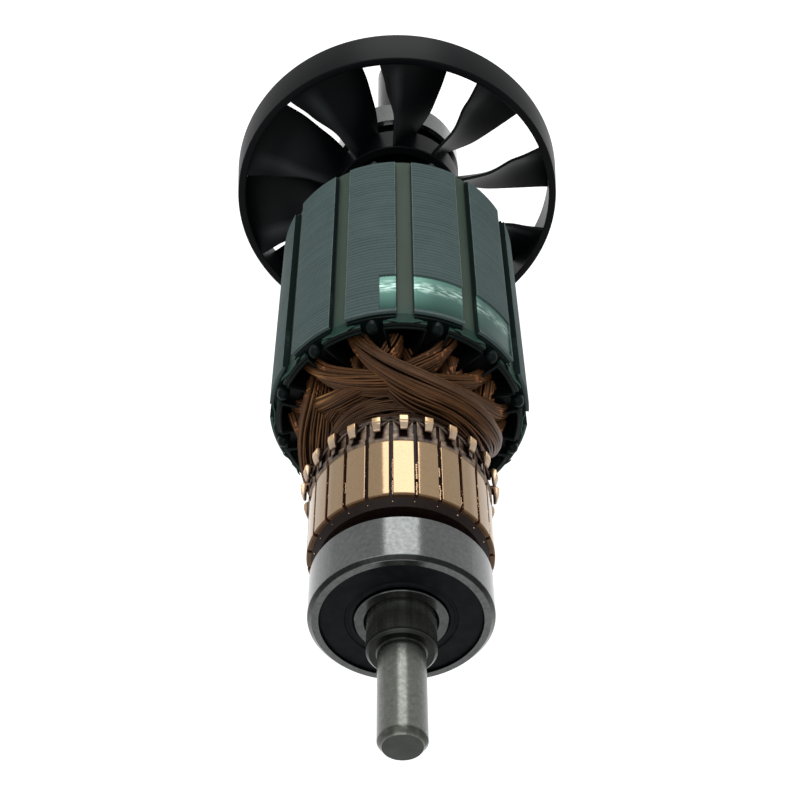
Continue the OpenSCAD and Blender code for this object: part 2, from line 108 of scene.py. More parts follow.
# Long slivers of copper in the cuts: angle, offset from the cut's middle, places and half width
SLIVERS = (
    (8.4, 0.05, 13.1, 16.8, 0.27), (8.4, 0.03, 9.2, 12.2, 0.25), (23.4, -0.14, 14.8, 17.0, 0.2),
    (23.4, -0.12, 9.2, 12.6, 0.2), (-6.6, 0.2, 9.2, 12.5, 0.14), (-6.6, 0.22, 13.4, 18.0, 0.1),
    (-36.6, 0.2, 12.5, 15.0, 0.08), (38.4, -0.22, 10.0, 12.0, 0.07), (68.4, 0.1, 9.5, 13.0, 0.1),
    (113.4, 0.0, 11.0, 15.5, 0.14), (-111.6, 0.1, 9.6, 12.4, 0.12), (173.4, -0.1, 12.0, 16.0, 0.13),
)


class WindingSizes(bpy.types.PropertyGroup):
    wire: FloatProperty(
        name="Wire", description="Outside diameter of a wire", default=0.47 * MM,
        min=0.3 * MM, max=1 * MM, unit="LENGTH", precision=5,
    )
    wires: IntProperty(
        name="Wires", description="Wires round the outside of a coil head", default=52,
        min=12, max=80,
    )
    enamel: FloatVectorProperty(
        name="Enamel", description="Colour of the enamelled copper", subtype="COLOR",
        default=linear(84, 55, 31), min=0, max=1,
    )


class CommutatorSizes(bpy.types.PropertyGroup):
    edge: FloatProperty(
        name="Edge", description="Rounding of the bars' edges", default=0.1 * MM,
        min=0, max=0.3 * MM, unit="LENGTH", precision=5,
    )
    copper: FloatVectorProperty(
        name="Copper", description="Colour of the brush track", subtype="COLOR",
        default=linear(148, 125, 98), min=0, max=1,
    )


class FanSizes(bpy.types.PropertyGroup):
    blades: IntProperty(
        name="Blades", description="Number of blades", default=10, min=7, max=11,
    )
    edge: FloatProperty(
        name="Edge", description="Rounding of the ring's edges", default=0.35 * MM,
        min=0, max=0.6 * MM, unit="LENGTH", precision=5,
    )
    plastic: FloatVectorProperty(
        name="Plastic", description="Colour of the fan", subtype="COLOR",
        default=linear(7, 9, 11), min=0, max=1,
    )


class CoreSizes(bpy.types.PropertyGroup):
    sheet: FloatProperty(
        name="Sheet", description="Thickness of one lamination", default=0.5 * MM,
        min=0.2 * MM, max=1 * MM, unit="LENGTH", precision=5,
    )
    varnish: FloatVectorProperty(
        name="Varnish", description="Colour of the varnished core", subtype="COLOR",
        default=linear(86, 102, 101), min=0, max=1,
    )


class SteelColours(bpy.types.PropertyGroup):
    ring: FloatVectorProperty(
        name="Bearing rings", description="Colour of the bearing rings", subtype="COLOR",
        default=linear(93, 95, 94), min=0, max=1,
    )
    shaft: FloatVectorProperty(
        name="Shaft", description="Colour of the shaft", subtype="COLOR",
        default=linear(100, 102, 97), min=0, max=1,
    )


class StageSizes(bpy.types.PropertyGroup):
    drop: FloatProperty(
        name="Drop", description="Height of the fan's rim over the floor", default=0.1,
        min=0, max=1, unit="LENGTH",
    )
    key: FloatProperty(
        name="Key light", description="Power of the large light", default=4.3, min=0, max=100,
    )
    fill: FloatProperty(
        name="Fill light", description="Power of the soft front light", default=5.5,
        min=0, max=100,
    )


class Nodes:
    """Short ways to fill a node tree. A value is a number, a colour or another node's socket"""

    def __init__(self, tree):
        self.tree = tree

    def join(self, socket, value):
        if isinstance(value, bpy.types.NodeSocket):
            self.tree.links.new(value, socket)
        else:
            socket.default_value = (*value, 1.0) if socket.type == "RGBA" else value

    def add(self, kind, inputs=None, **settings):
        node = self.tree.nodes.new(kind)
        for name, value in settings.items():
            setattr(node, name, value)
        for name, value in (inputs or {}).items():
            self.join(node.inputs[name], value)
        return node

    def calc(self, operation, *values):
        node = self.add("ShaderNodeMath", operation=operation)
        for socket, value in zip(node.inputs, values):
            self.join(socket, value)
        return node.outputs[0]

    def times(self, *values):
        return reduce(lambda a, b: self.calc("MULTIPLY", a, b), values)

    def plus(self, *values):
        return reduce(lambda a, b: self.calc("ADD", a, b), values)

    def most(self, *values):
        return reduce(lambda a, b: self.calc("MAXIMUM", a, b), values)

    def blend(self, share, first, second):
        """Number between first and second"""
        inputs = {"Value": share, "To Min": first, "To Max": second}
        return self.add("ShaderNodeMapRange", inputs).outputs[0]

    def in_sight(self):
        """1 for rays that the camera sends out, straight or by way of a shiny surface, else 0"""
        rays = self.add("ShaderNodeLightPath").outputs
        return self.most(*(rays[f"Is {of} Ray"] for of in ("Camera", "Glossy", "Transmission")))


class Finish(Nodes):
    """A procedural material: one Principled shader, with coats of colour one over the other. The
    values it starts with stay on the shader's own sockets"""

    def __init__(self, name, colour, roughness, metallic=0.0, **sockets):
        self.material = bpy.data.materials.new(name)
        self.material.use_nodes = True
        super().__init__(self.material.node_tree)
        self.tone = colour
        self.normal = None
        self.put("Base Color", colour)
        self.put("Roughness", roughness)
        self.put("Metallic", metallic)
        for socket, value in sockets.items():
            self.put(socket.replace("_", " "), value)
        self.place = self.add("ShaderNodeTexCoord").outputs["Object"]
        self.x, self.y, self.z = self.add("ShaderNodeSeparateXYZ", {"Vector": self.place}).outputs

    def put(self, socket, value):
        """Sets or feeds a socket of the shader"""
        self.join(self.tree.nodes["Principled BSDF"].inputs[socket], value)

    def coat(self, share, colour):
        """Lays a colour over the ones so far"""
        self.tone = self.mix(share, self.tone, colour)

    def done(self):
        """The finished material"""
        self.put("Base Color", self.tone)
        return self.material

    @cached_property
    def radius(self):
        """Distance from the shaft's axis"""
        return self.calc("SQRT", self.plus(self.times(self.x, self.x), self.times(self.z, self.z)))

    @cached_property
    def turn(self):
        """Angle clockwise from the top, in radians"""
        return self.calc("ARCTAN2", self.x, self.z)

    @cached_property
    def angle(self):
        """Angle clockwise from the top, in degrees"""
        return self.calc("DEGREES", self.turn)

    def turned(self, around=1.0, along=1.0, out=1.0):
        """Coordinates [radius, place along the shaft, angle in radians] for turned patterns"""
        inputs = {
            "X": self.times(self.radius, out), "Y": self.times(self.y, along),
            "Z": self.times(self.turn, around),
        }
        return self.add("ShaderNodeCombineXYZ", inputs).outputs[0]

    def pitches(self, count, phase):
        """Angle in pitches of evenly spaced slots or bars, with their middles at the halves"""
        pitch = 360 / count
        return self.plus(self.calc("DIVIDE", self.angle, pitch), count + 0.5 - phase / pitch)

    def aside(self, count, phase):
        """Distance round the shaft from the middle of the nearest slot or bar"""
        off = self.calc("SUBTRACT", self.calc("FRACT", self.pitches(count, phase)), 0.5)
        return self.times(self.calc("ABSOLUTE", off), self.radius, math.tau / count)

    def between(self, value, low, high, soft):
        """1 where low < value < high, with soft edges. FAR and -FAR leave a side open"""
        sides = []
        for out, within in ((low - soft, low + soft), (high + soft, high - soft)):
            inputs = {"Value": value, "From Min": out, "From Max": within}
            sides.append(self.add("ShaderNodeMapRange", inputs).outputs[0])
        return self.times(*sides)

    def zone(self, origin, low, high, soft):
        """1 on a stretch of the shaft, given in mm from a place on it"""
        return self.between(self.y, origin + low * MM, origin + high * MM, soft * MM)

    def shell(self, origin, low, high, soft):
        """1 between two radii, given in mm more than another radius"""
        return self.between(self.radius, origin + low * MM, origin + high * MM, soft * MM)

    def noise(self, scale, detail=3.0, where=None, stretch=(1, 1, 1), rough=0.5):
        """Noise about 0.5, on the object's coordinates or others"""
        mapped = self.add("ShaderNodeMapping", {"Vector": where or self.place, "Scale": stretch})
        inputs = {
            "Vector": mapped.outputs[0], "Scale": scale, "Detail": detail, "Roughness": rough,
        }
        return self.add("ShaderNodeTexNoise", inputs).outputs["Fac"]

    def lot(self, number):
        """Random value of its own for each whole number"""
        node = self.add("ShaderNodeTexWhiteNoise", {"W": number}, noise_dimensions="1D")
        return node.outputs["Value"]

    def ramp(self, value, *stops):
        """Value led through (place, level) stops"""
        node = self.add("ShaderNodeValToRGB", {"Fac": value})
        bar = node.color_ramp
        while len(bar.elements) < len(stops):
            bar.elements.new(0.5)
        for element, (place, level) in zip(bar.elements, stops):
            element.position = place
            element.color = (level, level, level, 1.0)
        return node.outputs["Color"]

    def mix(self, share, first, second):
        """Colour between first and second"""
        node = self.add("ShaderNodeMix", {"Factor": share}, data_type="RGBA")
        ends = [socket for socket in node.inputs if socket.type == "RGBA"]
        for socket, value in zip(ends, (first, second)):
            self.join(socket, value)
        return next(socket for socket in node.outputs if socket.type == "RGBA")

    def bump(self, height, distance, strength):
        """Lifts the surface by a height, over the bumps so far"""
        inputs = {"Height": height, "Distance": distance, "Strength": strength}
        if self.normal:
            inputs["Normal"] = self.normal
        self.normal = self.add("ShaderNodeBump", inputs).outputs[0]
        self.put("Normal", self.normal)


def shade(colour, factor):
    """The same colour, darker or lighter"""
    return tuple(min(1.0, factor * c) for c in colour)


def dress(name, material):
    """Gives a CAD node its finish"""
    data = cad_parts[name].data
    data.materials.clear()
    data.materials.append(material)


def keep(name, data, material, body=ROTOR, stands_for=(), smooth=35):
    """Makes a piece from a finished mesh. Edges that bend by more than smooth degrees stay sharp"""
    data.materials.clear()
    data.materials.append(material)
    piece = bpy.data.objects.new(name, data)
    bpy.context.scene.collection.objects.link(piece)
    for face in data.polygons:
        face.use_smooth = True
    if smooth < 180:
        data.set_sharp_from_angle(angle=math.radians(smooth))
    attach(piece, body)
    if stands_for:
        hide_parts(*stands_for)


def mesh_of(name, shape):
    """Finished mesh from a bmesh"""
    data = bpy.data.meshes.new(name)
    shape.to_mesh(data)
    shape.free()
    return data


def spot(radius, angle, place):
    """Point in the frame, from radius, degrees clockwise from the top, and place on the shaft"""
    a = math.radians(angle)
    return Vector((radius * math.sin(a), place, radius * math.cos(a)))


def ease(x):
    """Smooth step from 0 to 1"""
    t = min(max(x, 0.0), 1.0)
    return t * t * (3 - 2 * t)


def stepped(share, first, *steps):
    """Value that leaves its first one in smooth steps of (start, length, change)"""
    return first + sum(change * ease((share - start) / length) for start, length, change in steps)


def round_edges(shape, edges, offset, segments):
    bmesh.ops.bevel(
        shape, geom=edges, offset=offset, offset_type="OFFSET", affect="EDGES",
        segments=segments, profile=0.5, material=-1, clamp_overlap=True,
    )


def sharp_edges(shape, angle):
    """Edges that bend by more than an angle in degrees"""
    limit = math.radians(angle)
    return [e for e in shape.edges if len(e.link_faces) == 2 and e.calc_face_angle() > limit]


def turn_profile(shape, points, steps, edge=0.0):
    """Turns a closed profile of [radius, place] points about the shaft, and rounds its corners"""
    start = [shape.verts.new((0, y, r)) for r, y in points]
    edges = [shape.edges.new(pair) for pair in zip(start, start[1:] + start[:1])]
    bmesh.ops.spin(
        shape, geom=start + edges, cent=(0, 0, 0), axis=(0, 1, 0), angle=math.tau,
        steps=steps, use_merge=True,
    )
    bmesh.ops.remove_doubles(shape, verts=shape.verts[:], dist=1e-7)
    bmesh.ops.recalc_face_normals(shape, faces=shape.faces[:])
    if edge:
        round_edges(shape, sharp_edges(shape, 25), edge, segments=3)


def bridge_sections(shape, sections):
    """Closed body through rings of points, with its own ends filled"""
    loops = []
    for points in sections:
        verts = [shape.verts.new(point) for point in points]
        loops.append([shape.edges.new(pair) for pair in zip(verts, verts[1:] + verts[:1])])
    for first, second in zip(loops, loops[1:]):
        bmesh.ops.bridge_loops(shape, edges=first + second)
    for loop in (loops[0], loops[-1]):
        bmesh.ops.holes_fill(shape, edges=loop)


def wires_mesh(name, routes, thickness, draw=None, sides=1):
    """Round wires along routes of points, as one mesh. draw gives each wire its own shade, and more
    sides a rounder section"""
    curve = bpy.data.curves.new(name, "CURVE")
    curve.dimensions = "3D"
    curve.bevel_depth = thickness / 2
    curve.bevel_resolution = sides
    curve.resolution_u = 1
    curve.use_fill_caps = True
    for route in routes:
        line = curve.splines.new("POLY")
        line.points.add(len(route) - 1)
        for point, place in zip(line.points, route):
            point.co = (*place, 1.0)
    holder = bpy.data.objects.new(name, curve)
    bpy.context.scene.collection.objects.link(holder)
    graph = bpy.context.evaluated_depsgraph_get()
    data = bpy.data.meshes.new_from_object(holder.evaluated_get(graph))
    bpy.data.objects.remove(holder)
    if draw:
        length = len(data.vertices) // len(routes)
        tones = [draw.random() for _ in routes]
        last = len(tones) - 1
        strand = data.attributes.new("strand", "FLOAT", "POINT")
        values = [tones[min(i // length, last)] for i in range(len(data.vertices))]
        strand.data.foreach_set("value", values)
    return data


def copper_wire(colour):
    """Enamelled wire, each strand its own shade, with painted shade at the neck and painted glints
    """
    finish = Finish("enamelled_copper", colour, 0.42, metallic=0.35, Specular_IOR_Level=0.25)
    patchy = finish.noise(700, detail=2)
    broad = finish.noise(150, detail=2)
    strand = finish.add("ShaderNodeAttribute", attribute_name="strand").outputs["Fac"]
    level = finish.plus(finish.times(strand, 0.65), finish.times(patchy, 0.35))
    finish.tone = finish.mix(level, shade(colour, 0.25), shade(colour, 2.0))
    finish.coat(finish.ramp(broad, (0.55, 0.0), (0.8, 0.5)), linear(120, 86, 46))
    # Painted shade: the wires on the neck, behind the hooks and under the heads, are darkened
    neck = finish.times(
        finish.shell(0, 0, 14.2, 1.4),
        finish.between(finish.y, HUB_REAR - 4 * MM, LINER_FRONT - 6 * MM, 2 * MM),
    )
    finish.coat(finish.times(neck, 0.7), linear(16, 9, 6))
    # Painted highlight: golden strands on the coils at the left
    painted_golden_highlight = finish.times(
        finish.between(finish.angle, -66, -50, 4), finish.ramp(strand, (0.5, 0.0), (0.7, 1.0)),
        finish.zone(LINER_FRONT, -5, -1, 1.5), finish.shell(0, 16.4, 30, 0.8),
    )
    finish.coat(finish.times(painted_golden_highlight, 0.8), linear(196, 148, 90))
    # Painted glints: bright orange specks where the wires bend out of the slots' mouths
    mouth = finish.times(
        finish.most(
            finish.zone(LINER_FRONT, -1.4, 0.6, 0.3), finish.zone(LINER_REAR, -0.6, 1.4, 0.3)
        ),
        finish.shell(0, 14, 20.8, 0.4),
    )
    painted_glints = finish.ramp(finish.noise(1500, detail=1), (0.57, 0.0), (0.63, 1.0))
    finish.coat(finish.times(mouth, painted_glints), linear(176, 112, 70))
    finish.put("Roughness", finish.blend(patchy, 0.34, 0.5))
    return finish.done()


def lead_wire():
    """Wire that the hooks' fusing has burnt"""
    finish = Finish("burnt_wire", linear(58, 44, 38), 0.4, metallic=0.4)
    finish.tone = finish.mix(
        finish.noise(900, detail=3), linear(30, 22, 20), linear(104, 84, 70)
    )
    return finish.done()


def varnished_core(colour, sheet):
    """Edges of the sheets under varnish, worn and with painted highlights at the slots and the
    ends, with the milled cut
    """
    finish = Finish("varnished_core", colour, 0.55, Specular_IOR_Level=0.01)
    layer = finish.calc("DIVIDE", finish.y, sheet)
    pair = finish.calc("SINE", finish.times(layer, math.pi))
    one = finish.lot(finish.calc("FLOOR", layer))
    level = finish.plus(finish.times(pair, 0.34), 0.5, finish.times(one, 0.3))
    finish.tone = finish.mix(level, shade(colour, 0.68), shade(colour, 1.22))
    grit = finish.noise(1500, detail=3, rough=0.7)
    cloud = finish.noise(120, detail=4)
    finish.coat(finish.ramp(grit, (0.5, 0.0), (0.8, 0.5)), shade(colour, 0.55))
    finish.coat(finish.ramp(cloud, (0.45, 0.0), (0.8, 0.4)), shade(colour, 1.4))

    # Edges lightened, partly worn varnish and partly painted highlight: the corners of the slots'
    # mouths and both ends
    aside = finish.aside(SLOTS, SLOT_PHASE)
    bare = finish.most(
        finish.between(aside, 1.0 * MM, 1.86 * MM, 0.05 * MM),
        finish.zone(CORE_FRONT, -1, 0.16, 0.05), finish.zone(CORE_REAR, -0.16, 1, 0.05),
    )
    worn = finish.ramp(finish.noise(420, detail=3), (0.35, 0.25), (0.65, 1.0))
    outside = finish.shell(CORE_R, -0.15, 1, 0.03)
    finish.coat(finish.times(bare, worn, outside), linear(116, 134, 130))
    # Painted shade on the side walls of the slots' mouths
    walls = finish.times(
        finish.between(aside, -FAR, SLOT_EDGE, 0.01 * MM), finish.shell(CORE_R, -2, -0.02, 0.01)
    )
    finish.coat(walls, linear(22, 34, 32))

    # Balancing cut, a shallow milled hollow, which runs out thin at the right
    half = 5.4 * MM
    middle = CORE_FRONT + 0.8 * MM + half
    along = finish.calc("DIVIDE", finish.calc("SUBTRACT", finish.y, middle), half)
    cut = finish.times(
        finish.shell(CORE_R, -1.1, -0.2, 0.02), finish.between(along, -1.0, 1.0, 0.01),
        finish.between(aside, SLOT_EDGE, 9 * MM, 0.01 * MM),
    )
    # Painted light on the cut: painted shade at its near side, a painted highlight at its far side
    # and a painted highlight streak
    swirl = finish.noise(9, detail=3, where=finish.turned(around=1.4, along=150.0, out=0.0))
    painted_streak_highlight = finish.times(
        finish.between(along, 0.12, 0.62, 0.18), finish.ramp(swirl, (0.42, 0.0), (0.62, 1.0))
    )
    thin = finish.between(finish.angle, 37, 90, 3)
    far = finish.plus(finish.times(along, 0.5), 0.5)
    milled = finish.mix(far, linear(34, 68, 60), linear(108, 148, 136))
    milled = finish.mix(finish.times(painted_streak_highlight, 0.8), milled, linear(204, 232, 222))
    milled = finish.mix(finish.times(thin, 0.45), milled, linear(58, 76, 74))
    finish.coat(cut, milled)
    finish.put("Roughness", finish.blend(cut, 0.5, 0.3))
    finish.put("Metallic", finish.blend(cut, 0.0, 0.35))
    share = finish.calc("FRACT", layer)
    groove = finish.ramp(share, (0.0, 0.0), (0.22, 1.0), (0.78, 1.0), (1.0, 0.0))
    finish.bump(finish.mix(cut, groove, WHITE), 0.03 * MM, 0.5)
    finish.bump(finish.times(along, along, cut), 0.32 * MM, 0.8)
    finish.bump(finish.between(aside, -FAR, 1.95 * MM, 0.2 * MM), -0.1 * MM, 0.8)
    return finish.done()


def wedge_strip():
    """Olive fibre, soaked with varnish at the front, between the edges of the slot's liner"""
    finish = Finish("wedge_fibre", linear(76, 88, 68), 0.6, Specular_IOR_Level=0.25)
    grain = finish.noise(500, detail=4, stretch=(1, 0.12, 1))
    finish.tone = finish.mix(grain, linear(46, 63, 53), linear(67, 85, 72))
    finish.coat(finish.zone(CORE_FRONT, -4, 2.5, 2.5), linear(44, 74, 64))
    aside = finish.aside(SLOTS, SLOT_PHASE)
    finish.coat(finish.between(aside, 1.42 * MM, 3 * MM, 0.08 * MM), linear(18, 32, 28))
    end = finish.between(finish.y, -FAR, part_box("slot_wedges")[0].y + 0.04 * MM, 0.02 * MM)
    finish.coat(end, linear(10, 18, 16))
    finish.bump(grain, 0.03 * MM, 0.5)
    return finish.done()


def wedge_varnish():
    """Green varnish on the wedges' spread ends, with a painted highlight at the lip"""
    finish = Finish("wedge_varnish", linear(44, 72, 63), 0.45, Specular_IOR_Level=0.06)
    runs = finish.noise(300, detail=2)
    finish.tone = finish.mix(runs, linear(22, 46, 39), linear(42, 72, 62))
    # Painted highlight along the lip
    lip = finish.zone(CORE_FRONT, -2.4, -1.96, 0.05)
    finish.coat(finish.times(lip, 0.5), linear(84, 122, 110))
    return finish.done()


def black_varnish(name, colour, grain=350, pegs=False):
    """Black varnish or moulding, greener and wetter towards the core's outside"""
    finish = Finish(name, colour, 0.34, Specular_IOR_Level=0.08)
    lumps = finish.noise(grain, detail=4)
    finish.tone = finish.mix(lumps, shade(colour, 0.5), shade(colour, 1.6))
    finish.coat(finish.times(finish.shell(0, 22.6, 30, 0.8), 0.4), linear(10, 30, 27))
    finish.put("Roughness", finish.blend(lumps, 0.2, 0.5))
    if pegs:
        tip = finish.zone(CORE_FRONT, -9, -1.3, 0.2)
        finish.put("Specular IOR Level", finish.blend(tip, 0.08, 0.06))
    finish.bump(lumps, 0.06 * MM, 0.5)
    return finish.done()


def turned_copper(colour):
    """Bars: a bright turned track, a dull collar with painted shade and fusing black under the
    hooks, and raw sawn walls
    """
    finish = Finish("track_copper", colour, 0.2, metallic=1.0)
    aside = finish.aside(BARS, BAR_PHASE)
    fine = finish.noise(700, detail=3)
    finish.tone = finish.mix(fine, linear(44, 24, 16), linear(120, 68, 40))
    bevel = finish.times(
        finish.zone(BAR_FRONT, -1, 0.22, 0.03), finish.between(aside, -FAR, 1.82 * MM, 0.04 * MM)
    )
    finish.coat(bevel, linear(96, 70, 44))

    # Painted shade under each hook's tip, partly blackening from the fusing
    hook_shade_and_soot = finish.times(
        finish.between(aside, -FAR, 0.95 * MM, 0.28 * MM),
        finish.between(finish.y, TRACK_REAR + 0.5 * MM, BAR_REAR + MM, 0.35 * MM),
    )
    collar = finish.times(
        finish.between(finish.y, TRACK_REAR, BAR_REAR + MM, 0.03 * MM),
        finish.shell(TRACK_R, -0.4, 1, 0.03),
    )
    dull = finish.ramp(fine, (0.35, 0.0), (0.7, 1.0))
    dull = finish.mix(dull, linear(70, 56, 48), linear(150, 128, 108))
    finish.coat(collar, finish.mix(hook_shade_and_soot, dull, linear(24, 14, 10)))

    track = finish.times(
        finish.between(finish.y, BAR_FRONT + 0.22 * MM, TRACK_REAR, 0.03 * MM),
        finish.shell(TRACK_R, -0.06, 0.1, 0.03),
    )
    one = finish.lot(finish.calc("FLOOR", finish.pitches(BARS, BAR_PHASE)))
    speck = finish.noise(1500, detail=4, rough=0.65)
    swirl = finish.noise(60, detail=4, where=finish.turned(around=2.0, along=4.0))
    bright = finish.mix(one, shade(colour, 0.84), shade(colour, 1.12))
    bright = finish.mix(
        finish.ramp(swirl, (0.35, 0.0), (0.75, 0.5)), bright, linear(160, 134, 102)
    )
    bright = finish.mix(finish.ramp(speck, (0.52, 0.0), (0.8, 0.4)), bright, linear(112, 90, 66))
    finish.coat(track, bright)

    bare = finish.calc("SUBTRACT", 1.0, finish.times(hook_shade_and_soot, collar))
    finish.put("Roughness", finish.blend(track, 0.46, 0.09))
    finish.put("Metallic", finish.most(finish.times(bare, 0.5), track))
    finish.put("Specular IOR Level", finish.times(bare, 0.5))
    finish.bump(speck, 0.01 * MM, 0.5)
    return finish.done()


def hook_copper():
    """Hooks: pale tin on the bent front, copper on the back, dark near the bar"""
    finish = Finish("hook_copper", linear(160, 130, 98), 0.26, metallic=1.0)
    patch = finish.noise(420, detail=2)
    finish.tone = finish.mix(patch, linear(112, 92, 74), linear(206, 184, 160))
    crown = finish.times(
        finish.shell(TRACK_R, 1.42, 3, 0.06), finish.zone(BAR_REAR, -2.02, 1, 0.06)
    )
    finish.coat(crown, finish.mix(patch, linear(150, 118, 84), linear(216, 184, 142)))
    foot = finish.between(finish.radius, 0.0, TRACK_R + 1.1 * MM, 0.1 * MM)
    finish.coat(foot, linear(84, 64, 50))
    finish.put("Roughness", finish.blend(patch, 0.2, 0.34))
    return finish.done()


def phenolic():
    """Dark brown moulding between the bars and the shaft"""
    finish = Finish("phenolic_moulding", linear(34, 20, 16), 0.45, Specular_IOR_Level=0.15)
    fleck = finish.noise(900, detail=4)
    finish.tone = finish.mix(fleck, linear(12, 7, 6), linear(38, 23, 18))
    finish.bump(fleck, 0.05 * MM, 0.5)
    return finish.done()


def sleeve_paper():
    """Pale fibrous tube between the shaft and the core"""
    finish = Finish("sleeve_paper", linear(176, 164, 132), 0.6)
    fibres = finish.noise(700, detail=4)
    finish.tone = finish.mix(fibres, linear(150, 138, 108), linear(196, 184, 150))
    finish.bump(fibres, 0.05 * MM, 0.5)
    return finish.done()


def moulded_plastic(colour, blades):
    """Black moulding, with a painted sheen along the fold of each blade"""
    finish = Finish("fan_plastic", colour, 0.34, Specular_IOR_Level=0.06)
    cloud = finish.noise(45, detail=3)
    finish.tone = finish.mix(cloud, shade(colour, 0.7), shade(colour, 1.3))
    fold = finish.times(
        finish.between(finish.calc("FRACT", finish.pitches(blades, 0)), 0.43, 0.52, 0.05),
        finish.shell(0, 17, 34, 2),
    )
    # Painted highlight along each blade's fold
    painted_sheen = finish.ramp(finish.noise(60, detail=2), (0.35, 0.2), (0.65, 0.8))
    finish.coat(finish.times(fold, painted_sheen), linear(62, 67, 70))
    finish.put("Roughness", finish.blend(cloud, 0.3, 0.44))
    finish.bump(finish.noise(2200, detail=2), 0.01 * MM, 0.3)
    return finish.done()


def ground_metal(name, colour, roughness=0.3, speckle=0.5, rings=1.0):
    """Ground or turned metal, speckled and finely ringed"""
    finish = Finish(name, colour, roughness, metallic=1.0)
    speck = finish.noise(1300, detail=5, rough=0.7)
    lines = finish.noise(400, detail=3, where=finish.turned(around=0.4, along=10.0, out=10.0))
    cloud = finish.noise(90, detail=3)
    finish.tone = finish.mix(cloud, shade(colour, 0.86), shade(colour, 1.12))
    finish.coat(finish.ramp(speck, (0.5, 0.0), (0.7, 0.6)), shade(colour, 0.55))
    finish.coat(finish.ramp(speck, (0.3, 0.6), (0.48, 0.0)), shade(colour, 1.4))
    finish.put("Roughness", finish.blend(speck, roughness - 0.06, roughness + 0.1))
    finish.bump(speck, 0.02 * MM, speckle)
    finish.bump(lines, 0.008 * MM, 0.3 * rings)
    return finish


def ring_steel(colour):
    """Ground bearing rings, with darker faces and painted shade on the top of the front chamfer"""
    finish = ground_metal("ring_steel", colour, 0.13, speckle=0.4)
    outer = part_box("commutator_bearing_outer_ring")
    drive_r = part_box("drive_bearing_outer_ring")[1].z
    ground = finish.most(
        finish.between(finish.radius, outer[1].z - 0.08 * MM, FAR, 0.02 * MM),
        finish.times(
            finish.between(finish.radius, drive_r - 0.08 * MM, FAR, 0.02 * MM),
            finish.zone(FAN_REAR, 0, 40, 1),
        ),
    )
    inner = finish.shell(0, 0, 9, 0.1)
    # Painted shade: the front chamfer darkens towards the top
    chamfer = finish.times(
        finish.zone(outer[0].y, 0.05, 2, 0.04), finish.between(finish.z, 3 * MM, FAR, 5 * MM)
    )
    grime_and_shade = finish.most(finish.times(inner, 0.35), finish.times(chamfer, 0.84), 0.12)
    finish.coat(finish.times(finish.calc("SUBTRACT", 1.0, ground), grime_and_shade), BLACK)
    return finish.done()


def shaft_steel(colour):
    """Turned steel: streaked on the bearing seat, dark and mottled on its faces, with painted shade
    round the pin's end and behind the drive bearing
    """
    finish = ground_metal("shaft_steel", colour, 0.23, speckle=0.5)
    seat_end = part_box("commutator_bearing_inner_ring")[0].y
    seat = finish.zone(seat_end, -6.6, 1, 0.1)
    turns = finish.turned(around=1.0, along=12.0, out=0.0)
    streaks = finish.ramp(
        finish.noise(5.5, detail=3, where=turns, rough=0.7), (0.34, 1.0), (0.58, 0.0)
    )
    finish.coat(finish.times(streaks, 0.6, seat), linear(50, 52, 49))
    pin_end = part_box("shaft")[0].y
    mottle = finish.noise(260, detail=3)
    # Painted shade on the chamfer round the pin's end
    pin_chamfer_shade = finish.times(
        finish.zone(pin_end, 0.3, 1.35, 0.15), finish.ramp(mottle, (0.3, 0.2), (0.5, 1.0))
    )
    finish.coat(finish.times(pin_chamfer_shade, 0.75), linear(44, 45, 40))
    tip = finish.zone(pin_end, -1, 0.03, 0.02)
    finish.coat(tip, finish.mix(mottle, linear(36, 37, 35), linear(76, 78, 74)))
    shoulder = finish.times(
        finish.shell(0, 4.3, 20, 0.1),
        finish.between(finish.y, -FAR, seat_end - 6 * MM, 0.3 * MM),
    )
    finish.coat(shoulder, finish.mix(mottle, linear(20, 21, 20), linear(50, 52, 49)))
    # Painted shade on the shaft behind the drive bearing
    bearing_rear = 147 * MM
    finish.coat(finish.times(finish.between(finish.y, bearing_rear, FAR, MM), 0.88), BLACK)
    finish.put("Metallic", finish.blend(seat, 1.0, 0.75))
    return finish.done()


def seal_rubber():
    """Dusty rubber of the bearings' seals"""
    finish = Finish("seal_rubber", linear(12, 14, 16), 0.5, Specular_IOR_Level=0.06)
    dust = finish.ramp(finish.noise(500, detail=4), (0.4, 0.0), (0.9, 1.0))
    finish.tone = finish.mix(dust, linear(10, 12, 15), linear(26, 29, 32))
    return finish.done()


# Coil heads: where they leave the core, which way, how far they reach and how thick they are next
# to the front ones, and how much the last coils sink at their far end
HEADS = {
    "front": {"foot": LINER_FRONT, "way": -1, "reach": 1.0, "girth": 1.0, "dip": 0.3},
    "rear": {"foot": LINER_REAR, "way": 1, "reach": 0.62, "girth": 0.9, "dip": 0.0},
}
# For the six coils wound one over the other: bottom and top of the wires in the slot, at both
# sides, inner and outer radius on the shaft, and how far the head stands out
START_FEET = ((14, 16.5), (14, 17.8), (14, 20), (14.5, 21), (16, 22), (17, 22.3))
END_FEET = ((14, 16.8), (14, 20), (14, 21.3), (14.5, 20.3), (14.5, 21.6), (13.5, 19.6))
WAISTS = ((9.5, 14), (9.6, 14.6), (9.8, 15.3), (10, 16.2), (10.3, 17.4), (10.6, 20.1))
STANDS = (3.6, 4.4, 5.4, 6.6, 8.3, 12.8)
INNER_LEVELS = (0, 1, 2)
OUTER_LEVELS = (3, 4, 5)
SINKING_LEVELS = (4, 5)
# Width and depth of a coil's section, and how square its corners are
BUNDLE = (9.0, 4.0)
SQUARENESS = 5
# Degrees from a slot's middle to a wire, degrees that a head takes to rise to its full height, and
# what a wire's place in the bundle adds to them and takes from the height
LEAN, LEAN_BY_DEPTH = 0.6, 4.4
RISE, RISE_OUTWARDS = 49, 9
SINK_BY_DEPTH = 1.4
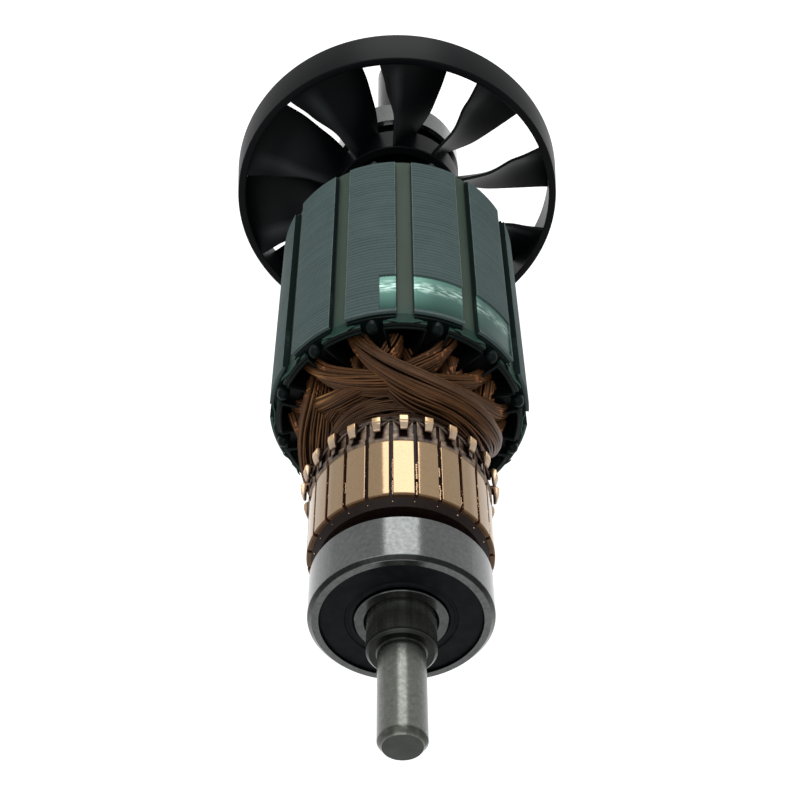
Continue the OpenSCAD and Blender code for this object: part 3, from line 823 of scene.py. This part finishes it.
# How far a wire runs on into its slot, the wires on the neck behind the commutator, and the stray
# wires of each outer coil
TAIL = 2.4
NECK_WIRES = 90
STRAYS = 12


def coils(levels=INNER_LEVELS + OUTER_LEVELS):
    """Start angle and level of each coil, from 0 for the first pair wound to 5 for the last"""
    every = [(LAST_COIL - i * SLOT_PITCH, 5 - i % 6) for i in range(SLOTS)]
    return [(start, level) for start, level in every if level in levels]


def section(share):
    """Point on a bundle's rounded outline, [across, deep], each -1 to 1"""
    wide, deep = BUNDLE
    way = (share % 1) * 2 * (wide + deep)
    if way < wide:
        x, y = 2 * way / wide - 1, -1
    elif way < wide + deep:
        x, y = 1, 2 * (way - wide) / deep - 1
    elif way < 2 * wide + deep:
        x, y = 1 - 2 * (way - wide - deep) / wide, 1
    else:
        x, y = -1, 1 - 2 * (way - 2 * wide - deep) / deep
    corner = (abs(x) ** SQUARENESS + abs(y) ** SQUARENESS) ** (1 / SQUARENESS)
    return x / corner, y / corner


def head_point(end, start, level, across, deep, share):
    """Point of a taut wire in a coil head: straight from its slot to the waist on the shaft, round
    it, and straight to the other slot. across, -1 to 1, is its place from the shaft outwards in the
    bundle, and deep, -1 to 1, its place in the bundle's depth"""
    lean = LEAN + LEAN_BY_DEPTH * (deep + 1)
    sweep = COIL_SPAN - 2 * lean
    over = ease((share - 0.35) / 0.3)
    out = (across + 1) / 2
    low, top = (a + (b - a) * over for a, b in zip(START_FEET[level], END_FEET[level]))
    foot = low + (top - low) * out
    low, top = WAISTS[level]
    waist = min(end["girth"] * (low + (top - low) * out), foot)
    bend = math.degrees(math.acos(waist / foot))
    turn = sweep * min(share, 1 - share)
    radius = waist / math.cos(math.radians(max(bend - turn, 0)))
    rise = 1 - (1 - min(turn / (RISE + RISE_OUTWARDS * across), 1)) ** 2
    stand = end["reach"] * (STANDS[level] - SINK_BY_DEPTH * (deep + 1))
    if level in SINKING_LEVELS:
        stand *= 1 - end["dip"] * out * ease((share - 0.5) / 0.4)
    return spot(
        radius * MM, start + SLOT_PHASE + lean + sweep * share,
        end["foot"] + end["way"] * stand * rise * MM,
    )


def soften(route, passes):
    """Rounds the bends of a route, and keeps its ends"""
    for _ in range(passes):
        middle = [(a + 2 * b + c) / 4 for a, b, c in zip(route, route[1:], route[2:])]
        route = [route[0], *middle, route[-1]]
    return route


def head_wires(end, levels, count, draw, loose=0.0, steps=26):
    """Routes of the wires round the outside of the coil heads of some levels"""
    inside = Vector((0, end["way"] * -TAIL * MM, 0))
    routes = []
    for start, level in coils(levels):
        for wire in range(count):
            place = (wire + draw.uniform(-0.25, 0.25)) / count + loose * draw.random()
            drift = draw.gauss(0, 0.012 + 0.03 * loose)
            swell = 1 + draw.uniform(-0.025, 0.025) + 0.04 * loose
            lift = 1 + draw.uniform(-0.1, 0.1) + 0.15 * loose
            wave, phase = draw.uniform(0, 0.012), draw.random()
            route = []
            for step in range(steps + 1):
                share = step / steps
                wander = wave * math.sin(math.tau * (1.5 * share + phase))
                across, deep = section(place + drift * (2 * share - 1) + wander)
                route.append(head_point(end, start, level, across * swell, deep * lift, share))
            routes.append(soften([route[0] + inside, *route, route[-1] + inside], 4))
    return routes


def head_cores(end, steps=18, points=12):
    """Solid middles of the coil heads, under their wires"""
    shape = bmesh.new()
    ring = [section(k / points) for k in range(points)]
    for start, level in coils():
        shares = [0.04 + 0.92 * step / steps for step in range(steps + 1)]
        bridge_sections(shape, [
            [head_point(end, start, level, 0.8 * a, 0.6 * d, share) for a, d in ring]
            for share in shares
        ])
    bmesh.ops.recalc_face_normals(shape, faces=shape.faces[:])
    return shape


class MOTOR_ARMATURE_OT_winding(bpy.types.Operator):
    """Coil heads of single wires, and their ends looped round the hooks"""

    bl_idname = "motor_armature.winding"
    bl_label = "Winding"

    def execute(self, context):
        sizes = context.scene.winding_sizes
        draw = random.Random(12)
        material = copper_wire(tuple(sizes.enamel))
        # Painted shade: the solid middles of the heads and the filling by the shaft are dark, where
        # only shaded wires would show
        dark = Finish("wire_gap_shade", linear(30, 19, 13), 0.8, Specular_IOR_Level=0.02).done()
        for name, end in HEADS.items():
            for layer, levels in (("inner", INNER_LEVELS), ("outer", OUTER_LEVELS)):
                routes = head_wires(end, levels, sizes.wires, draw)
                data = wires_mesh(name, routes, sizes.wire, draw)
                piece = f"{name}_{layer}_coils"
                keep(piece, data, material, stands_for=["winding"], smooth=180)
            keep(f"{name}_coil_cores", mesh_of(name, head_cores(end)), dark)
        routes = head_wires(HEADS["front"], OUTER_LEVELS, STRAYS, draw, loose=1.0)
        data = wires_mesh("strays", routes, sizes.wire, draw)
        keep("stray_wires", data, material, smooth=180)
        routes = [
            self.lead(BAR_PHASE + bar * BAR_PITCH, side, draw)
            for bar in range(BARS) for side in (-1, 1)
        ]
        data = wires_mesh("leads", routes, HOOK_WIRE, sides=2)
        keep("coil_leads", data, lead_wire(), smooth=180)
        routes = [self.neck(wire / NECK_WIRES, draw) for wire in range(NECK_WIRES)]
        data = wires_mesh("neck", routes, sizes.wire, draw)
        keep("neck_wires", data, material, smooth=180)
        keep("coil_fill", mesh_of("fill", self.fill()), dark)
        return {"FINISHED"}

    def neck(self, share, draw):
        """One of the coil ends that run round the neck behind the commutator, before their hook.
        share, 0 to 1, is its place on the neck. Sizes in mm"""
        inner, spread, bulge, dive = 12.3, 1.1, 0.5, 1.2
        gap, length = 0.4, 6.4
        start = draw.uniform(0, 360)
        sweep = draw.uniform(80, 140)
        slope = draw.uniform(-0.8, 0.8)
        steps = 16
        route = []
        for step in range(steps + 1):
            part = step / steps
            radius = inner + spread * share + bulge * math.sin(math.pi * part)
            radius -= dive * (2 * part - 1) ** 8
            place = HUB_REAR / MM + gap + length * share + slope * (part - 0.5)
            route.append(spot(radius * MM, start + sweep * part, place * MM))
        return route

    def lead(self, angle, side, draw):
        """One wire from under a hook, sideways and back down to the coil heads. Its stations are
        radius, place behind the bars and distance to the side, in mm"""
        far = draw.uniform(0.6, 1.5)
        stations = (
            (16.85, -1.45, 0.0), (16.85, -1.4, 0.5), (16.8, -1.1, 1.05), (16.5, -0.3, 1.3),
            (16.0, 0.7, 1.2 + 0.6 * far), (15.2, 1.9, 1.4 + 1.6 * far), (14.5, 3.0, 1.6 + 3 * far),
            (13.4, 4.6, 1.6 + 4.4 * far),
        )
        route = [
            spot(radius * MM, angle + math.degrees(side * aside / radius), BAR_REAR + place * MM)
            for radius, place, aside in stations
        ]
        full = [route[0]]
        for a, b in zip(route, route[1:]):
            full += [(a + b) / 2, b]
        return soften(full, 3)

    def fill(self):
        """Dark filling between the shaft and the coil heads"""
        shape = bmesh.new()
        inner, near_r, far_r = 8.3 * MM, 10.8 * MM, 11.6 * MM
        rear_length = 9 * MM
        for near, far in ((HUB_REAR, LINER_FRONT), (LINER_REAR, LINER_REAR + rear_length)):
            points = [(inner, near), (near_r, near), (far_r, far), (inner, far)]
            turn_profile(shape, points, steps=48)
        return shape


class MOTOR_ARMATURE_OT_commutator(bpy.types.Operator):
    """Copper bars with rounded edges and hooks, and the burrs that turning left in the cuts"""

    bl_idname = "motor_armature.commutator"
    bl_label = "Commutator"

    def execute(self, context):
        sizes = context.scene.commutator_sizes
        draw = random.Random(24)
        bars = bmesh.new()
        hooks = bmesh.new()
        for bar in range(BARS):
            turn = Matrix.Rotation(math.radians(BAR_PHASE + bar * BAR_PITCH), 4, "Y")
            self.add_bar(bars, turn, sizes.edge)
            self.add_hook(hooks, turn, draw)
        burrs = self.burrs(draw)
        copper = turned_copper(tuple(sizes.copper))
        bright = Finish("burr_copper", linear(196, 166, 134), 0.2, metallic=1.0).done()
        keep(
            "commutator_segments", mesh_of("segments", bars), copper,
            stands_for=["commutator_bars"], smooth=12,
        )
        keep("commutator_hooks", mesh_of("hooks", hooks), hook_copper(), smooth=60)
        keep("cut_burrs", mesh_of("burrs", burrs), bright, smooth=180)
        dress("commutator_hub", phenolic())
        dress("commutator_bush", ground_metal("turned_brass", linear(176, 148, 92)).done())
        return {"FINISHED"}

    def add_bar(self, shape, turn, edge):
        """One segment: its profile spun through a little more than a pitch and cut flat on both
        sides"""
        foot = TRACK_R - 3 * MM
        collar = TRACK_R + 0.2 * MM
        collar_rear = BAR_FRONT + 15.2 * MM
        step = 0.05 * MM
        profile = [
            (foot, BAR_FRONT), (TRACK_R - TRACK_BEVEL, BAR_FRONT),
            (TRACK_R, BAR_FRONT + TRACK_BEVEL), (TRACK_R, TRACK_REAR), (collar, TRACK_REAR + step),
            (collar, collar_rear), (RISER_R, collar_rear + step), (RISER_R, BAR_REAR),
            (foot, BAR_REAR),
        ]
        piece = bmesh.new()
        verts = [piece.verts.new((0, y, r)) for r, y in profile]
        face = piece.faces.new(verts)
        half = math.radians(BAR_PITCH / 2)
        sweep = math.radians(BAR_PITCH + 1)
        bmesh.ops.rotate(piece, verts=verts, matrix=Matrix.Rotation(-sweep / 2, 3, "Y"))
        bmesh.ops.spin(
            piece, geom=[face, *face.edges, *face.verts], cent=(0, 0, 0), axis=(0, 1, 0),
            angle=sweep, steps=6,
        )
        for side in (-1, 1):
            normal = Vector((side * math.cos(half), 0, -math.sin(half)))
            through = Vector((side * math.sin(half), 0, math.cos(half))) * TRACK_R
            cut = bmesh.ops.bisect_plane(
                piece, geom=piece.verts[:] + piece.edges[:] + piece.faces[:],
                plane_co=through - normal * BAR_GAP / 2, plane_no=normal, clear_outer=True,
            )
            rim = [e for e in cut["geom_cut"] if isinstance(e, bmesh.types.BMEdge)]
            bmesh.ops.holes_fill(piece, edges=rim)
        bmesh.ops.recalc_face_normals(piece, faces=piece.faces[:])
        round_edges(piece, sharp_edges(piece, 40), edge, segments=2)
        self.merge(piece, shape, turn)

    def add_hook(self, shape, turn, draw):
        """One hook, bent forward over its wire, with a crease and a narrower tip"""
        foot = RISER_R - 0.4 * MM
        under = RISER_R + 0.9 * MM
        top = under + 1.1 * MM
        tip = BAR_FRONT + 15.3 * MM
        half, rounding = 0.8 * MM, 0.28 * MM
        outline = [
            (foot, BAR_REAR), (under + 0.1 * MM, BAR_REAR),
            (top - 0.25 * MM, BAR_REAR - 0.3 * MM), (top, BAR_REAR - 0.75 * MM),
            (top, BAR_REAR - 1.9 * MM), (top - 0.14 * MM, BAR_REAR - 2.1 * MM),
            (top - 0.16 * MM, BAR_REAR - 2.4 * MM), (under + 0.62 * MM, tip + 0.3 * MM),
            (under + 0.25 * MM, tip), (under, tip + 0.2 * MM), (under, BAR_REAR - 1.0 * MM),
            (foot, BAR_REAR - 0.9 * MM),
        ]
        piece = bmesh.new()
        face = piece.faces.new([piece.verts.new((-half, y, r)) for r, y in outline])
        grown = bmesh.ops.extrude_face_region(piece, geom=[face])
        moved = [v for v in grown["geom"] if isinstance(v, bmesh.types.BMVert)]
        bmesh.ops.translate(piece, verts=moved, vec=(2 * half, 0, 0))
        point = [v for v in piece.verts if v.co.y < tip + 0.5 * MM]
        bmesh.ops.scale(piece, verts=point, vec=(0.8, 1, 1))
        bmesh.ops.recalc_face_normals(piece, faces=piece.faces[:])
        round_edges(piece, piece.edges[:], rounding, segments=3)
        lean = Matrix.Rotation(math.radians(draw.uniform(-0.6, 0.6)), 4, "Y")
        nod = Matrix.Translation((0, draw.uniform(-0.12, 0.12) * MM, 0))
        self.merge(piece, shape, turn @ lean @ nod)

    def merge(self, piece, shape, turn):
        """Puts a small bmesh into a large one, turned to its place"""
        bmesh.ops.transform(piece, matrix=turn, verts=piece.verts[:])
        data = mesh_of("part", piece)
        shape.from_mesh(data)
        bpy.data.meshes.remove(data)

    def burrs(self, draw):
        """Copper smeared over the cuts by turning: a few long slivers and many small bits"""
        shape = bmesh.new()
        parts = 6
        crumb_r = 15.35 * MM
        for angle, side, near, far, wide in SLIVERS:
            length = (far - near) / parts
            for part in range(parts):
                share = (part + 0.5) / parts
                self.add_bit(
                    shape, TRACK_R - draw.uniform(0.08, 0.12) * MM,
                    angle + math.degrees(side * MM / TRACK_R) + draw.uniform(-0.15, 0.15),
                    (near + (far - near) * share) * MM,
                    (wide * draw.uniform(0.75, 1.1), length, 0.12),
                )
        for cut in range(BARS):
            middle = BAR_PHASE + (cut + 0.5) * BAR_PITCH
            for _ in range(draw.randint(8, 20)):
                angle = middle + draw.choice((-1, 1)) * math.degrees(BAR_GAP / 2 / TRACK_R)
                size = draw.uniform(0.05, 0.11)
                self.add_bit(
                    shape, TRACK_R - draw.uniform(0.08, 0.4) * MM, angle,
                    BAR_FRONT + draw.uniform(0.6, 14.5) * MM,
                    (size * 0.6, size * draw.uniform(1.5, 5), size),
                )
            size = draw.uniform(0.1, 0.22)
            self.add_bit(
                shape, crumb_r, middle + draw.uniform(-0.8, 0.8), HUB_FRONT + 0.6 * MM,
                (size, 0.7 * size, size),
            )
        return shape

    def add_bit(self, shape, radius, angle, place, size):
        """A small lump. size is its half width round the shaft, along it and out from it"""
        bit = bmesh.ops.create_icosphere(shape, subdivisions=1, radius=MM)["verts"]
        bmesh.ops.scale(shape, verts=bit, vec=size)
        bmesh.ops.rotate(shape, verts=bit, matrix=Matrix.Rotation(math.radians(angle), 3, "Y"))
        bmesh.ops.translate(shape, verts=bit, vec=spot(radius, angle, place))


class MOTOR_ARMATURE_OT_fan(bpy.types.Operator):
    """Ring fan: hub, swept blades and flared ring"""

    bl_idname = "motor_armature.fan"
    bl_label = "Fan"

    def execute(self, context):
        sizes = context.scene.fan_sizes
        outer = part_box("fan")[1].z
        near = outer - 0.7 * MM
        wall = 1.75 * MM
        bore, boss, groove, rim = (r * MM for r in (7, 10, 13, 15))
        front = FAN_FRONT + 0.6 * MM
        rear = front + 7.5 * MM
        web = rear - 2.2 * MM
        ring = bmesh.new()
        outline = [
            (near - wall, FAN_FRONT), (near, FAN_FRONT), (outer, FAN_REAR), (outer - wall, FAN_REAR)
        ]
        turn_profile(ring, outline, steps=180, edge=sizes.edge)
        hub = bmesh.new()
        outline = [
            (bore, front), (boss, front), (boss, web), (groove, web), (groove, front), (rim, front),
            (rim, rear), (bore, rear),
        ]
        turn_profile(hub, outline, steps=120, edge=sizes.edge)
        blades = bmesh.new()
        tip = near - wall / 2 - 0.1 * MM
        for blade in range(sizes.blades):
            self.add_blade(blades, blade * 360 / sizes.blades, front, tip)
        material = moulded_plastic(tuple(sizes.plastic), sizes.blades)
        for name, shape, smooth in (("ring", ring, 15), ("hub", hub, 15), ("blades", blades, 60)):
            data = mesh_of(name, shape)
            keep(f"fan_{name}", data, material, stands_for=["fan"], smooth=smooth)
        return {"FINISHED"}

    def add_blade(self, shape, turn, front, tip):
        """One blade through sections from hub to ring. near and far are the angles of its leading
        and trailing edge, which fold back on the way out, and low and high their places in mm"""
        root, thick, bow = 14 * MM, 1.5 * MM, 0.14
        curl, curl_end = 4.8, 0.35
        rows, columns = 20, 10
        stations = [(j, -1) for j in range(columns + 1)] + [(j, 1) for j in range(columns, -1, -1)]
        sections = []
        for row in range(rows + 1):
            span = row / rows
            radius = root + (tip - root) * span
            near = stepped(span, -3.8, (0.0, 0.35, 1.6), (0.35, 0.35, -3.2), (0.7, 0.3, -1.3))
            far = stepped(span, 20.6, (0.55, 0.45, -1.3))
            far -= curl * (1 - min(span / curl_end, 1)) ** 2
            low = front / MM + stepped(span, 0.4, (0.6, 0.4, -0.7))
            high = FAN_REAR / MM + stepped(span, -1.1, (0.3, 0.4, 1.0))
            points = []
            for j, side in stations:
                chord = j / columns
                arch = math.sin(math.pi * chord)
                half = thick / 2 * (0.45 + 0.55 * arch)
                angle = near + (far - near) * (chord - bow * arch)
                angle += math.degrees(side * half / radius * 0.8)
                place = (low + (high - low) * chord) * MM - side * half * 0.55
                points.append(spot(radius, angle + turn, place))
            sections.append(points)
        start = len(shape.faces)
        bridge_sections(shape, sections)
        shape.faces.ensure_lookup_table()
        bmesh.ops.recalc_face_normals(shape, faces=shape.faces[start:])


class MOTOR_ARMATURE_OT_core(bpy.types.Operator):
    """Finishes of the laminated core and the parts that insulate it"""

    bl_idname = "motor_armature.core"
    bl_label = "Core"

    def execute(self, context):
        sizes = context.scene.core_sizes
        dress("lamination_core", varnished_core(tuple(sizes.varnish), sizes.sheet))
        dress("slot_wedges", wedge_strip())
        dress("shaft_sleeve", sleeve_paper())
        black = black_varnish("slot_liner_varnish", linear(7, 9, 9))
        moulded = black_varnish("insulator_moulding", linear(7, 9, 9), grain=200, pegs=True)
        dress("slot_liners", black)
        dress("front_end_insulator", moulded)
        dress("rear_end_insulator", moulded)
        rims = wires_mesh("rims", self.rim_routes(), LINER_RIM, sides=2)
        keep("slot_liner_rims", rims, black, smooth=180)
        skirts = mesh_of("skirts", self.skirts())
        keep("wedge_skirts", skirts, wedge_varnish(), smooth=180)
        return {"FINISHED"}

    def skirts(self):
        """Varnished ends of the wedges, which widen past the front of the core. Sizes in mm"""
        narrow, spread = 1.42, 2.03
        base, curl, flat, rolled = 24.3, 0.5, 1.2, 1.8
        tucked, length, thick = 0.45, 2.55, 0.2 * MM
        shape = bmesh.new()
        for slot in range(SLOTS):
            grid = bmesh.ops.create_grid(shape, x_segments=16, y_segments=12, size=1)["verts"]
            for vert in grid:
                across, along = vert.co.x, (vert.co.y + 1) / 2
                half = narrow + spread * along ** 2.2
                out = base + curl * along * ease((abs(across) * half - flat) / rolled)
                angle = SLOT_PHASE + slot * SLOT_PITCH + math.degrees(across * half / out)
                vert.co = spot(out * MM, angle, CORE_FRONT + (tucked - length * along) * MM)
            faces = list({f for v in grid for f in v.link_faces})
            bmesh.ops.recalc_face_normals(shape, faces=faces)
            bmesh.ops.solidify(shape, geom=faces, thickness=thick)
        return shape

    def rim_routes(self):
        """Thick varnished edge round the mouth of each liner, at both ends of the core"""
        foot, top, wall, inset = 15.2 * MM, 23.3 * MM, 2.2 * MM, 0.1 * MM
        half = math.radians(SLOT_PITCH / 2)
        root = foot * math.sin(half) - wall
        reach = SLOT_PITCH / 2 - math.degrees(math.asin(wall / top))
        outline = []
        for step in range(9):
            a = math.pi / 2 + half + (math.pi - 2 * half) * step / 8
            outline.append((foot + root * math.cos(a), root * math.sin(a)))
        for step in range(7):
            a = math.radians(-reach + 2 * reach * step / 6)
            outline.append((top * math.cos(a), top * math.sin(a)))
        outline.append(outline[0])
        routes = []
        for place in (LINER_FRONT + inset, LINER_REAR - inset):
            for slot in range(SLOTS):
                turn = math.radians(SLOT_PHASE + slot * SLOT_PITCH)
                sin, cos = math.sin(turn), math.cos(turn)
                routes.append([
                    Vector((out * sin + aside * cos, place, out * cos - aside * sin))
                    for out, aside in outline
                ])
        return routes


class MOTOR_ARMATURE_OT_shaft(bpy.types.Operator):
    """Finishes of the shaft and the two ball bearings"""

    bl_idname = "motor_armature.shaft"
    bl_label = "Shaft and bearings"

    def execute(self, context):
        colours = context.scene.steel_colours
        dress("shaft", shaft_steel(tuple(colours.shaft)))
        ball = ground_metal("ball_steel", linear(190, 192, 194), 0.12, speckle=0.05, rings=0.0)
        cage = ground_metal("cage_steel", linear(150, 145, 132), 0.35)
        rubber = seal_rubber()
        ring = ring_steel(tuple(colours.ring))
        finishes = {
            "outer_ring": ring, "inner_ring": ring, "balls": ball.done(), "cage": cage.done(),
            "front_seal": rubber, "rear_seal": rubber,
        }
        for bearing in ("commutator_bearing", "drive_bearing"):
            for part, material in finishes.items():
                dress(f"{bearing}_{part}", material)
        return {"FINISHED"}


class MOTOR_ARMATURE_OT_stage(bpy.types.Operator):
    """Pale floor, soft studio light and the camera"""

    bl_idname = "motor_armature.stage"
    bl_label = "Stage"

    def execute(self, context):
        sizes = context.scene.stage_sizes
        self.add_camera(context.scene)
        self.add_floor(context.scene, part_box("fan")[0].z - sizes.drop)
        self.add_light("key", (0.0, 0.84, 0.84), (0.66, 0.62), sizes.key)
        self.add_light("fill", (-0.25, -0.9, 1.1), (1.2, 1.2), sizes.fill)
        self.add_world(context.scene)
        context.scene.view_settings.view_transform = "Standard"
        return {"FINISHED"}

    def add_camera(self, scene):
        """Camera fitted to the photo: above the commutator end and a little to its side"""
        photo_width, focal_length = 800, 1459.24  # pixels
        target, distance = Vector((0.159, 53.365, 0)) * MM, 291.47 * MM
        rise, side, roll = (math.radians(a) for a in (40.173, -1.204, 1.2514))
        lens = bpy.data.cameras.new("camera")
        lens.sensor_width = 36
        lens.lens = focal_length * lens.sensor_width / photo_width
        lens.clip_start = 0.01
        camera = bpy.data.objects.new("camera", lens)
        scene.collection.objects.link(camera)
        back = Vector((
            math.sin(side) * math.cos(rise), -math.cos(side) * math.cos(rise), math.sin(rise)
        ))
        right = (-back).cross(Vector((0, 0, 1))).normalized()
        up = right.cross(-back)
        across = math.cos(roll) * right + math.sin(roll) * up
        above = -math.sin(roll) * right + math.cos(roll) * up
        turn = Matrix((across, above, back)).transposed().to_4x4()
        camera.matrix_world = Matrix.Translation(target + back * distance) @ turn
        scene.camera = camera

    def add_floor(self, scene, height):
        """Floor that shows white, and lights the object from below no more than pale paper does"""
        shape = bmesh.new()
        bmesh.ops.create_grid(shape, x_segments=1, y_segments=1, size=6)
        bmesh.ops.translate(shape, verts=shape.verts[:], vec=(0, 0, height))
        floor = bpy.data.objects.new("floor", mesh_of("floor", shape))
        scene.collection.objects.link(floor)
        paper = Finish(
            "floor_paper", (0.8, 0.8, 0.8), 0.9, Specular_IOR_Level=0.0, Emission_Color=WHITE
        )
        glow = 0.65
        paper.put("Emission Strength", paper.times(paper.in_sight(), glow))
        floor.data.materials.append(paper.done())

    def add_light(self, name, where, size, power):
        """Soft box that faces the middle of the object, in metres from there"""
        lamp = bpy.data.lights.new(name, "AREA")
        lamp.shape = "RECTANGLE"
        lamp.size, lamp.size_y = size
        lamp.energy = power
        holder = bpy.data.objects.new(name, lamp)
        bpy.context.scene.collection.objects.link(holder)
        holder.location = Vector(where) + Vector((0, 50 * MM, 0))
        holder.rotation_euler = Vector(where).to_track_quat("Z", "Y").to_euler()

    def add_world(self, scene):
        """White surroundings, which light the object less than they show"""
        world = bpy.data.worlds.new("studio")
        world.use_nodes = True
        sky = Nodes(world.node_tree)
        lit, shown = 0.39, 1.0
        ground = world.node_tree.nodes["Background"]
        sky.join(ground.inputs["Color"], WHITE)
        sky.join(ground.inputs["Strength"], sky.blend(sky.in_sight(), lit, shown))
        scene.world = world


class MOTOR_ARMATURE_PT_parts(bpy.types.Panel):
    """Buttons for each group of pieces"""

    bl_idname = "MOTOR_ARMATURE_PT_parts"
    bl_label = "Motor armature"
    bl_space_type = "VIEW_3D"
    bl_region_type = "UI"
    bl_category = "Armature"

    def draw(self, context):
        for operator in OPERATORS:
            self.layout.operator(operator.bl_idname)
        for name in SETTINGS:
            sizes = getattr(context.scene, name)
            box = self.layout.box()
            for key in sizes.__annotations__:
                box.prop(sizes, key)


SETTINGS = {
    "winding_sizes": WindingSizes,
    "commutator_sizes": CommutatorSizes,
    "fan_sizes": FanSizes,
    "core_sizes": CoreSizes,
    "steel_colours": SteelColours,
    "stage_sizes": StageSizes,
}
OPERATORS = (
    MOTOR_ARMATURE_OT_core,
    MOTOR_ARMATURE_OT_winding,
    MOTOR_ARMATURE_OT_commutator,
    MOTOR_ARMATURE_OT_fan,
    MOTOR_ARMATURE_OT_shaft,
    MOTOR_ARMATURE_OT_stage,
)


def register():
    for group in SETTINGS.values():
        bpy.utils.register_class(group)
    for kind in (*OPERATORS, MOTOR_ARMATURE_PT_parts):
        bpy.utils.register_class(kind)
    for name, group in SETTINGS.items():
        setattr(bpy.types.Scene, name, PointerProperty(type=group))


def unregister():
    for name in SETTINGS:
        delattr(bpy.types.Scene, name)
    for kind in (MOTOR_ARMATURE_PT_parts, *reversed(OPERATORS), *SETTINGS.values()):
        bpy.utils.unregister_class(kind)


def main():
    register()
    bpy.ops.motor_armature.core()
    bpy.ops.motor_armature.winding()
    bpy.ops.motor_armature.commutator()
    bpy.ops.motor_armature.fan()
    bpy.ops.motor_armature.shaft()
    bpy.ops.motor_armature.stage()


if __name__ == "__main__":
    main()
